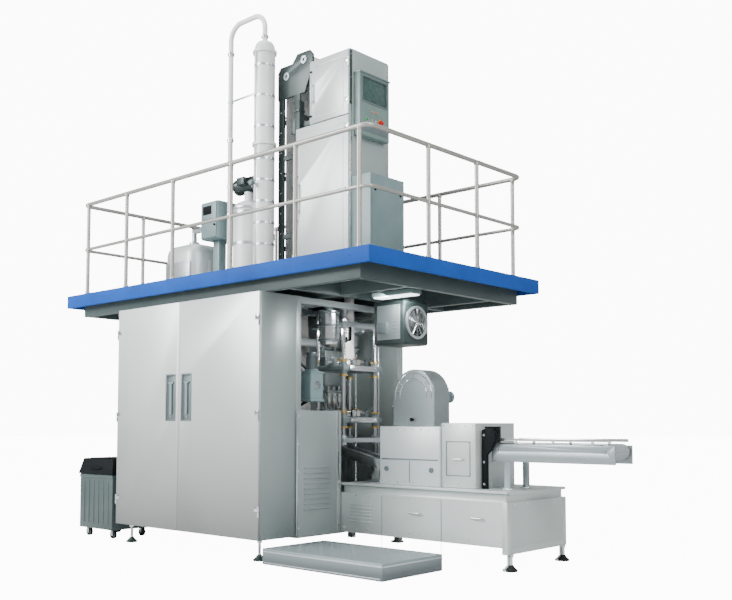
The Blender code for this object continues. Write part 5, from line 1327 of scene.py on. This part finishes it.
def build_belt(y, tail, drive, axle, radius):
    loops = []
    for size, py in ((radius, y[0]), (radius, y[1]), (radius - 0.005, y[1]), (radius - 0.005, y[0])):
        path = arc((drive, axle), size, 90, -90, 24) + arc((tail, axle), size, -90, -270, 24)
        loops.append([(u, py, v) for u, v in path])
    belt = Piece()
    belt.skin(loops, True)
    belt.stand_in("outfeed_belt", "conveyor_belt", "belt")
    ribs, top = Piece(), axle + radius
    for px in steps_between(tail, drive, 34):
        ribs.block(near(px, 0.003), (y[0] + 0.006, y[1] - 0.006), (top - 0.0008, top - 0.0001), 0.0002, 1)
    ribs.finish("belt_cross_ribs", "belt", "belt")
    profile = [(0.040, 0.0), (0.053, 0.004), (0.055, 0.05), (0.055, 0.95), (0.053, 0.996), (0.040, 1.0)]
    for node, px in (("conveyor_tail_roller", tail), ("conveyor_drive_roller", drive)):
        ends = span(node)[1]
        roller = Piece().lathe((px, y[0] + 0.003, axle), (px, y[1] - 0.003, axle), profile, 44)
        roller.rod((px, ends[0], axle), (px, ends[1], axle), 0.0119, 24)
        roller.stand_in(node + "_drum", node, "steel")
        flats = Piece()
        for py in ends:
            flats.block(near(px, 0.004), near(py, 0.0015), near(axle, 0.010), 0.0005)
        flats.finish(node + "_key_flats", "dark", "dark_steel", BODY_OF[node])


def build_conveyor_details():
    x, y, z = span("conveyor_belt")
    frame_x, frame_y = span("conveyor_frame")[:2]
    axle, radius = middle_of(z), 0.061
    tail, drive = x[0] + radius, x[1] - radius
    build_belt(y, tail, drive, axle, radius)
    guides, brackets = Piece(), Piece()
    for way, py in ((-1, frame_y[0] + 0.007), (1, frame_y[1] - 0.007)):
        guides.block((tail + 0.02, frame_x[1] - 0.03), near(py, 0.004), (z[1] + 0.012, z[1] + 0.037), 0.003)
        for px in (1.95, 2.29, 2.63):
            brackets.block(near(px, 0.012), near(py, 0.003), (0.955, z[1] + 0.030), 0.002)
            brackets.bolt((px, py + way * 0.003, 0.968), (0, way, 0), 0.006, 0.003)
        for px in (tail, drive):
            brackets.ring((px, py - way * 0.0045, axle), (px, py + way * 0.0068, axle), 0.032, 0.0135, 32)
    guides.finish("belt_side_guides", "bright", "stainless")
    brackets.finish("belt_side_brackets", "steel", "stainless")
    feet = Piece()
    for py in (frame_y[0] + 0.014, frame_y[1] - 0.014):
        feet.block((1.825, 1.915), near(py, 0.015), (0.6203, 0.629), 0.002)
        feet.bolts((1.838, 1.903), py, 0.629, UP, 0.0055, 0.005)
    feet.finish("conveyor_feet", "steel", "stainless")
    bolts = Piece().bolts(1.676, span("transfer_guide")[1][0], (0.66, 0.84, 1.06), FRONT, 0.007, 0.006)
    bolts.finish("transfer_guide_bolts", "bright", "black_plastic")


# ---------------------------------------------------------------- tower and its panels
def build_tower_door(name, node, hinges, lock):
    body, hinge_x = "tower_door_" + name, 0.246
    x, y, z = span(node)
    face = span("tower_housing")[1][0] - 0.0204
    pins, leaves, leaf, screws = Piece(), Piece(), (0.045, 0.003, 0.038), (0.018, 0.034)
    for level in steps_between(z[0] + 0.12, z[1] - 0.12, hinges):
        pins.hinge(leaves, (hinge_x, face, level), -1, 0.04, 0.0075, leaf, screws, 0.02, 0.0035, 18)
    pins.finish("tower_hinge_pins_" + name, "bright", "door_steel")
    leaves.finish("tower_hinge_leaves_" + name, "bright", "door_steel", body)
    wide, tall = (x[0] + 0.05, x[1] - 0.06), (z[0] + 0.05, z[1] - 0.05)
    upright, bar = (face - 0.0024, face + 0.001), (face - 0.0025, face + 0.001)
    ribs = Piece().border(wide, tall, upright, bar, 0.008, 0.008, 0.0, 0.001)
    ribs.finish("tower_door_ribs_" + name, "tower", "door_steel", body)
    locks = Piece()
    for level in near(lock, 0.22):
        locks.rod((x[0] + 0.018, face - 0.008, level), (x[0] + 0.018, face + 0.001, level), 0.012, 24)
    locks.finish("tower_door_locks_" + name, "black", "door_steel", body)


def build_tower_details():
    build_tower_door("low", "tower_lower_door", 3, 3.35)
    build_tower_door("high", "tower_upper_door", 2, 4.35)
    x, y, z = span("tower_housing")
    top = z[1]
    # bright strips up the outfeed corners, the front one ending in a dark strip, and the roof
    corner = ((x[1] - 0.003, x[1] + 0.004), (y[0] - 0.0005, y[0] + 0.028))
    strips = Piece().block(*corner, (span("tower_lower_door")[2][0], 4.148), 0.002)
    strips.block((x[1] - 0.002, x[1] + 0.006), (y[1] - 0.03, y[1] - 0.002), (3.47, top - 0.01), 0.002)
    strips.finish("tower_corner_strips", "bright", "stainless")
    Piece().block(*corner, (4.15, top - 0.01), 0.002).finish("tower_corner_dark_strip", "dark", "dark_steel")
    roof = Piece().block((-0.265, x[1] - 0.005), (y[0] + 0.005, y[1] - 0.005), (top - 0.001, top + 0.010), 0.004)
    roof.block((-0.12, 0.10), (-0.05, 0.20), (top + 0.008, top + 0.024), 0.005)
    roof.finish("tower_roof_cap", "panel", "stainless")
    screws = Piece().bolts(x[1] + 0.004, (-0.185, 0.335), steps_between(3.52, top - 0.05, 6), RIGHT, 0.0045, 0.003)
    screws.bolts(-0.05, y[1], steps_between(2.56, 4.62, 10), REAR, 0.005, 0.004)
    screws.finish("tower_screws", "bright", "stainless")
    cover = Piece().block((-0.40, 0.19), (y[1] - 0.001, y[1] + 0.004), (2.58, 3.98), 0.003)
    for level in steps_between(2.75, 3.03, 8):
        cover.block((-0.25, 0.05), (y[1] + 0.003, y[1] + 0.012), (level, level + 0.016), 0.003)
    cover.finish("tower_rear_cover", "panel", "stainless")


def build_control_details():
    x = span("control_panel")[0]
    face, start_y, stop_y, level = x[1], -0.05, 0.14, 4.02
    glass = Piece().block((face - 0.0078, face - 0.0058), (-0.108, 0.228), (4.192, 4.418), 0.0008)
    glass.finish("operator_display", "screen", "teal_paint")
    # a grey bezel round the display, and a grey strip low on the panel
    upright, bar = (face - 0.003, face + 0.005), (face - 0.003, face + 0.0049)
    bezel = Piece().border((-0.124, 0.244), (4.176, 4.434), upright, bar, 0.016, 0.016, 0.004, 0.003, True)
    bezel.block((face - 0.003, face + 0.0025), (-0.115, 0.235), (3.90, 3.955), 0.002)
    bezel.finish("display_bezel", "mid", "teal_paint")
    lamps, rims = Piece(), Piece()
    bulb = [(0.009, 0.0), (0.009, 0.4), (0.006, 0.85), (0.002, 1.0)]
    for py in (0.02, 0.055, 0.09):
        lamps.lathe((face - 0.001, py, 4.105), (face + 0.010, py, 4.105), bulb, 24)
        rims.ring((face - 0.001, py, 4.105), (face + 0.004, py, 4.105), 0.012, 0.0085, 28)
    for py in (0.02, 0.075):
        rims.rod((face - 0.001, py, level), (face + 0.006, py, level), 0.013, 28)
        rims.block((face + 0.004, face + 0.016), near(py, 0.003), near(level, 0.011), 0.002)
    for py, outer, inner in ((start_y, 0.023, 0.0158), (stop_y, 0.030, 0.0128)):
        rims.ring((face - 0.001, py, level), (face + 0.003, py, level), outer, inner, 36)
    lamps.finish("signal_lamps", "amber", "teal_paint")
    rims.finish("switch_rims", "steel", "teal_paint")
    cap = [(0.0145, 0.0), (0.0145, 0.86), (0.0135, 0.95), (0.0115, 1.0)]
    start = Piece().lathe((face - 0.022, start_y, level), (face + 0.010, start_y, level), cap, 40)
    start.stand_in("start_button_cap", "start_button", "green")
    stem, dome = [(0.0115, 0.0), (0.0115, 1.0)], [(0.026, 0.0), (0.026, 0.30)]
    dome += [(0.026 * math.cos(t) + 0.0005, 0.30 + 0.70 * math.sin(t)) for t in (0.3, 0.6, 0.9, 1.2, 1.45)]
    stop = Piece().lathe((face - 0.020, stop_y, level), (face + 0.012, stop_y, level), stem, 36)
    stop.lathe((face + 0.008, stop_y, level), (face + 0.030, stop_y, level), dome, 40)
    stop.stand_in("emergency_stop_head", "emergency_stop", "red")
    collar = Piece().ring((face + 0.0002, stop_y, level), (face + 0.0016, stop_y, level), 0.038, 0.031, 36)
    collar.finish("emergency_stop_ring", "amber", "teal_paint")
    outline = [(-0.156, 4.452), (0.276, 4.452), (0.276, 4.464), (-0.156, 4.464)]
    hood = Piece().slab(outline, x[0] + 0.004, face + 0.012, True, 0.003)
    hood.finish("control_panel_hood", "pale", "teal_paint")


def build_valve_cabinet_details():
    x, y, z = span("valve_cabinet")
    extents = ((x[1] - 0.001, x[1] + 0.004), (y[0] + 0.02, y[1] - 0.02), (z[0] + 0.06, z[1] - 0.05))
    Piece().block(*extents, 0.003).finish("valve_cabinet_cover", "teal", "teal_paint")
    valves, knobs = Piece(), Piece()
    for level in (2.66, 2.92, 3.18):
        valves.block((0.29, 0.45), (-0.14, 0.05), (level, level + 0.11), 0.008)
        valves.rod((0.37, 0.05, level + 0.055), (0.37, 0.20, level + 0.055), 0.02, 24)
        for px in (0.33, 0.41):
            valves.rod((px, 0.045, level + 0.03), (px, 0.085, level + 0.03), 0.008, 16)
    valves.tube([(0.37, 0.19, 2.53), (0.37, 0.19, 3.42)], 0.013, 18)
    valves.finish("product_valves", "bright", "teal_paint")
    for py, level in product((-0.12, 0.24), (z[0] + 0.16, z[1] - 0.15)):
        knobs.rod((x[1] + 0.003, py, level), (x[1] + 0.012, py, level), 0.012, 24)
    knobs.finish("valve_cover_knobs", "black", "teal_paint")


def build_web_guide_details():
    x, y, z = span("web_guide_frame")
    uprights, levels = (-0.76, -0.53), steps_between(2.65, 4.30, 9)
    caps, bolts, feet, idlers = Piece(), Piece(), Piece(), Piece()
    for (px, pz), (py, way) in product(WEB_ROLLERS, ((y[0], -1), (y[1], 1))):
        caps.ring((px, py - way * 0.0005, pz), (px, py + way * 0.008, pz), 0.040, 0.0175, 36)
        bolts.bolt_circle((px, py + way * 0.008, pz), (0, way, 0), 0.031, turns(3, 0.5), 0.0045, 0.004)
    bolts.bolts(uprights, y[0] + 0.0025, levels, FRONT, 0.006, 0.005)
    bolts.bolts(uprights, y[1] - 0.0025, levels, REAR, 0.006, 0.005)
    caps.finish("web_roller_bearings", "steel", "dark_steel")
    bolts.finish("web_guide_bolts", "bright", "dark_steel")
    for px, py in product(uprights, (y[0] + 0.012, y[1] - 0.012)):
        feet.block(near(px, 0.055), near(py, 0.024), (2.4956, 2.506), 0.003)
    feet.finish("web_guide_feet", "mid", "dark_steel")
    # idlers between the plates keep the rising web flat
    for level in (3.06, 3.70, 4.28):
        idlers.rod((-0.7945, y[0] + 0.014, level), (-0.7945, y[1] - 0.014, level), 0.0135, 24)
    idlers.finish("web_idlers", "bright", "dark_steel")
    # a cable duct with clips up the tower's left side, and ties from the web guide to the tower
    tower = span("tower_housing")
    side, face = tower[0][0], tower[1][0]
    duct = Piece().block((side - 0.075, side - 0.003), (face + 0.03, face + 0.10), (2.4965, 4.36), 0.006)
    for level in steps_between(2.62, 4.25, 8):
        duct.block((side - 0.080, side - 0.001), (face + 0.022, face + 0.108), (level, level + 0.022), 0.003)
    for level in (2.95, 3.55, 4.10):
        duct.block((side - 0.076, x[1] - 0.03), (y[0] + 0.016, y[0] + 0.034), (level, level + 0.045))
        duct.block((side - 0.13, side - 0.07), (face + 0.035, face + 0.13), (level - 0.06, level + 0.10), 0.006)
    duct.finish("tower_cable_duct", "dark", "dark_steel")


# ---------------------------------------------------------------- fan, step, service unit
def build_fan_details():
    x, y, z = span("exhaust_fan")
    face, middle = x[1], (0.025, 2.06)
    my, mz = middle
    bezel = Piece().ring((face - 0.002, my, mz), (face + 0.012, my, mz), 0.150, 0.128, 56)
    bezel.block(near(x[0], 0.003), (y[0] + 0.04, y[1] - 0.04), (1.90, 2.22), 0.003)
    bezel.finish("fan_bezel", "steel", "dark_steel")
    cover = Piece().block((x[0] + 0.045, x[1] - 0.045), (y[0] - 0.004, y[0] + 0.003), (1.905, 2.215), 0.004)
    cover.bolts((x[0] + 0.06, x[1] - 0.06), y[0] - 0.004, (1.92, 2.20), FRONT, 0.005, 0.004)
    for level in steps_between(1.94, 2.06, 5):
        cover.block((0.72, 0.79), (y[0] - 0.008, y[0] - 0.003), (level, level + 0.012), 0.002)
    cover.finish("fan_side_cover", "guard", "dark_steel")
    grille = Piece()
    for radius in (0.03, 0.055, 0.08, 0.105):
        loop = circle(radius, steps_between(0.0, math.tau, 41), middle)
        grille.tube([(face + 0.006, u, v) for u, v in loop], 0.002, 8)
    for angle in steps_between(0.0, math.pi * 5 / 6, 6):
        bar = circle(0.129, (angle + math.pi, angle), middle)
        grille.tube([(face + 0.009, u, v) for u, v in bar], 0.0022, 8)
    grille.finish("fan_grille", "bright", "dark_steel")
    hub = [(0.04, 0.0), (0.04, 0.7), (0.02, 1.0)]
    rotor = Piece().lathe((face - 0.088, my, mz), (face - 0.03, my, mz), hub, 36)
    pitch = Matrix.Rotation(math.radians(28), 4, "Y")
    rotor.spun((face - 0.055, my, mz), "X", turns(9), (0, 0.08, 0), (0.020, 0.042, 0.0015), tilt=pitch)
    rotor.finish("fan_rotor", "mid", "dark_steel")
    fixings = Piece().block((0.59, 0.77), (-0.06, 0.12), (2.261, 2.272), 0.003)
    fixings.bolts((0.605, 0.755), (-0.045, 0.105), 2.272, UP, 0.007, 0.006)
    # the terminal box on the fan's near face
    fixings.block((0.56, 0.68), (y[0] - 0.030, y[0] - 0.002), (1.96, 2.06), 0.006)
    fixings.finish("fan_fixings", "mid", "dark_steel")


def build_step_details():
    x, y, z = span("step_platform")
    pitch, rim = 0.062, 0.03
    xs, ys = ([side[0] + rim + pitch * (step + 0.5) for step in range(int((side[1] - side[0] - rim) / pitch))]
              for side in (x, y))
    pattern = Piece()
    raised_lozenges(pattern, xs, ys, z[1], 0.019, 0.0055, 0.0045)
    pattern.finish("step_tread_pattern", "tread", "deck_plate")
    folds = Piece().block((x[0] + 0.004, x[1] - 0.004), (y[0] - 0.001, y[0] + 0.004), (0.100, 0.112), 0.002)
    folds.block((x[0] + 0.02, x[1] - 0.02), (y[0] - 0.0008, y[0] + 0.003), (0.012, 0.020), 0.001)
    folds.block((x[1] - 0.003, x[1] + 0.001), (y[0] + 0.004, y[1] - 0.004), (0.100, 0.112), 0.001)
    folds.finish("step_edge_folds", "steel", "deck_plate")


def build_service_details():
    x, y, z = span("service_unit")
    ribs, castors, tyres, axle = Piece(), Piece(), Piece(), 0.0425
    for px in steps_between(x[0] + 0.08, x[1] - 0.08, 6):
        ribs.block(near(px, 0.012), (y[0] - 0.004, y[0] + 0.002), (0.14, 0.58), 0.004)
    for py in steps_between(y[0] + 0.07, y[1] - 0.07, 5):
        ribs.block((x[1] - 0.002, x[1] + 0.004), near(py, 0.012), (0.14, 0.58), 0.004)
    ribs.block((x[0] - 0.004, x[1] + 0.004), (y[0] - 0.006, y[1] + 0.006), (0.602, 0.636), 0.004)
    ribs.finish("service_unit_ribs", "unit", "teal_paint")
    tread = [(0.035, 0.0), (0.0415, 0.12), (0.0425, 0.3), (0.0425, 0.7), (0.0415, 0.88), (0.035, 1.0)]
    for px, py in product((x[0] + 0.08, x[1] - 0.08), (y[0] + 0.07, y[1] - 0.07)):
        tyres.lathe((px, py - 0.0165, axle), (px, py + 0.0165, axle), tread, 36)
        castors.rod((px, py - 0.0185, axle), (px, py + 0.0185, axle), 0.012, 20)
        for side in near(py, 0.0215):
            castors.block(near(px, 0.018), near(side, 0.002), (0.030, 0.088), 0.001)
        castors.rod((px, py, 0.083), (px, py, 0.093), 0.03, 28)
    tyres.finish("castor_tyres", "rubber", "teal_paint")
    castors.finish("castor_forks", "steel", "teal_paint")
    x, y, z = span("service_unit_lid")
    mid, grip_y = middle_of(x), y[0] + 0.018
    grip = Piece().pull((mid - 0.10, grip_y, 0.70), (mid + 0.10, grip_y, 0.70), (0, -0.022, 0.002), 0.012, 0.007)
    for px in steps_between(mid - 0.20, mid + 0.20, 5):
        grip.block(near(px, 0.016), (y[0] + 0.08, y[1] - 0.08), (z[1] - 0.002, z[1] + 0.005), 0.003)
    grip.finish("service_lid_grip", "black", "black_plastic", "unit_lid")


build_table_details()
build_conveyor_details()
build_tower_details()
build_control_details()
build_valve_cabinet_details()
build_web_guide_details()
build_fan_details()
build_step_details()
build_service_details()


# ---------------------------------------------------------------- floor, light, world
def seen_by_camera(graph, lit, shown, output, share=1.0):
    """Shows one shader to the camera's own rays, by share, and another to every other ray."""
    rays = graph.node("LightPath").outputs["Is Camera Ray"]
    part = graph.node("Math")
    part.operation = "MULTIPLY"
    part.inputs[1].default_value = share
    graph.link(rays, part.inputs[0])
    blend = graph.node("MixShader")
    for socket, value in zip(blend.inputs, (part.outputs["Value"], lit, shown)):
        graph.link(value, socket)
    graph.link(blend.outputs["Shader"], graph.tree.nodes[output].inputs["Surface"])


def build_stage():
    mesh = bpy.data.meshes.new("floor")
    bm = bmesh.new()
    bmesh.ops.create_grid(bm, x_segments=1, y_segments=1, size=80.0)
    bm.to_mesh(mesh)
    bm.free()
    floor = bpy.data.objects.new("floor", mesh)
    floor.location.z = -0.002
    bpy.context.scene.collection.objects.link(floor)
    made, shader = new_material("studio_floor", (0.80, 0.80, 0.80), 0.7)
    graph = Surface(made)
    tone = graph.mix(graph.noise(0.6, 2.0), (0.79, 0.79, 0.79), (0.81, 0.81, 0.81))
    graph.link(tone, shader.inputs["Base Color"])
    # an evenly lit white sheet, on which the machine still leaves a soft shadow
    glow = graph.node("Emission", Strength=FLOOR_WHITE)
    seen_by_camera(graph, shader.outputs["BSDF"], glow.outputs["Emission"], "Material Output", 0.82)
    mesh.materials.append(made)


def add_light(name, place, aim, size, power):
    data = bpy.data.lights.new(name, "AREA")
    data.shape = "RECTANGLE"
    data.size, data.size_y = size
    data.energy = power
    lamp = bpy.data.objects.new(name, data)
    lamp.location = place
    lamp.visible_camera = False
    lamp.rotation_euler = (Vector(aim) - Vector(place)).to_track_quat("-Z", "Y").to_euler()
    bpy.context.scene.collection.objects.link(lamp)


def build_light():
    middle = (0.0, 0.0, 2.2)
    add_light("key", (-4.5, -9.5, 6.5), middle, (6.0, 5.0), 1700.0)
    add_light("overhead", (0.0, -1.0, 11.0), middle, (9.0, 9.0), 600.0)
    add_light("fill_right", (8.5, -3.0, 6.5), (0.0, 0.0, 3.4), (5.0, 4.0), 480.0)
    add_light("under_deck_lamp", (0.89, -0.29, 2.25), (0.15, 0.10, 1.1), (0.42, 0.11), 7.5)
    add_light("wall_lamp", (0.56, 0.10, 1.80), (0.21, 0.47, 1.50), (0.10, 0.30), 4.0)
    add_light("bay_lamp", (-0.03, -0.22, 2.03), (-0.03, 0.15, 1.2), (0.30, 0.06), 4.5)
    world = bpy.data.worlds.new("studio")
    world.use_nodes = True
    graph = Graph(world.node_tree)
    soft = world.node_tree.nodes["Background"]
    soft.inputs["Color"].default_value = (0.95, 0.98, 1.0, 1.0)
    soft.inputs["Strength"].default_value = WORLD_STRENGTH
    seen = graph.node("Background", Strength=BACKDROP_WHITE)
    seen_by_camera(graph, soft.outputs["Background"], seen.outputs["Background"], "World Output")
    bpy.context.scene.world = world


build_stage()
build_light()
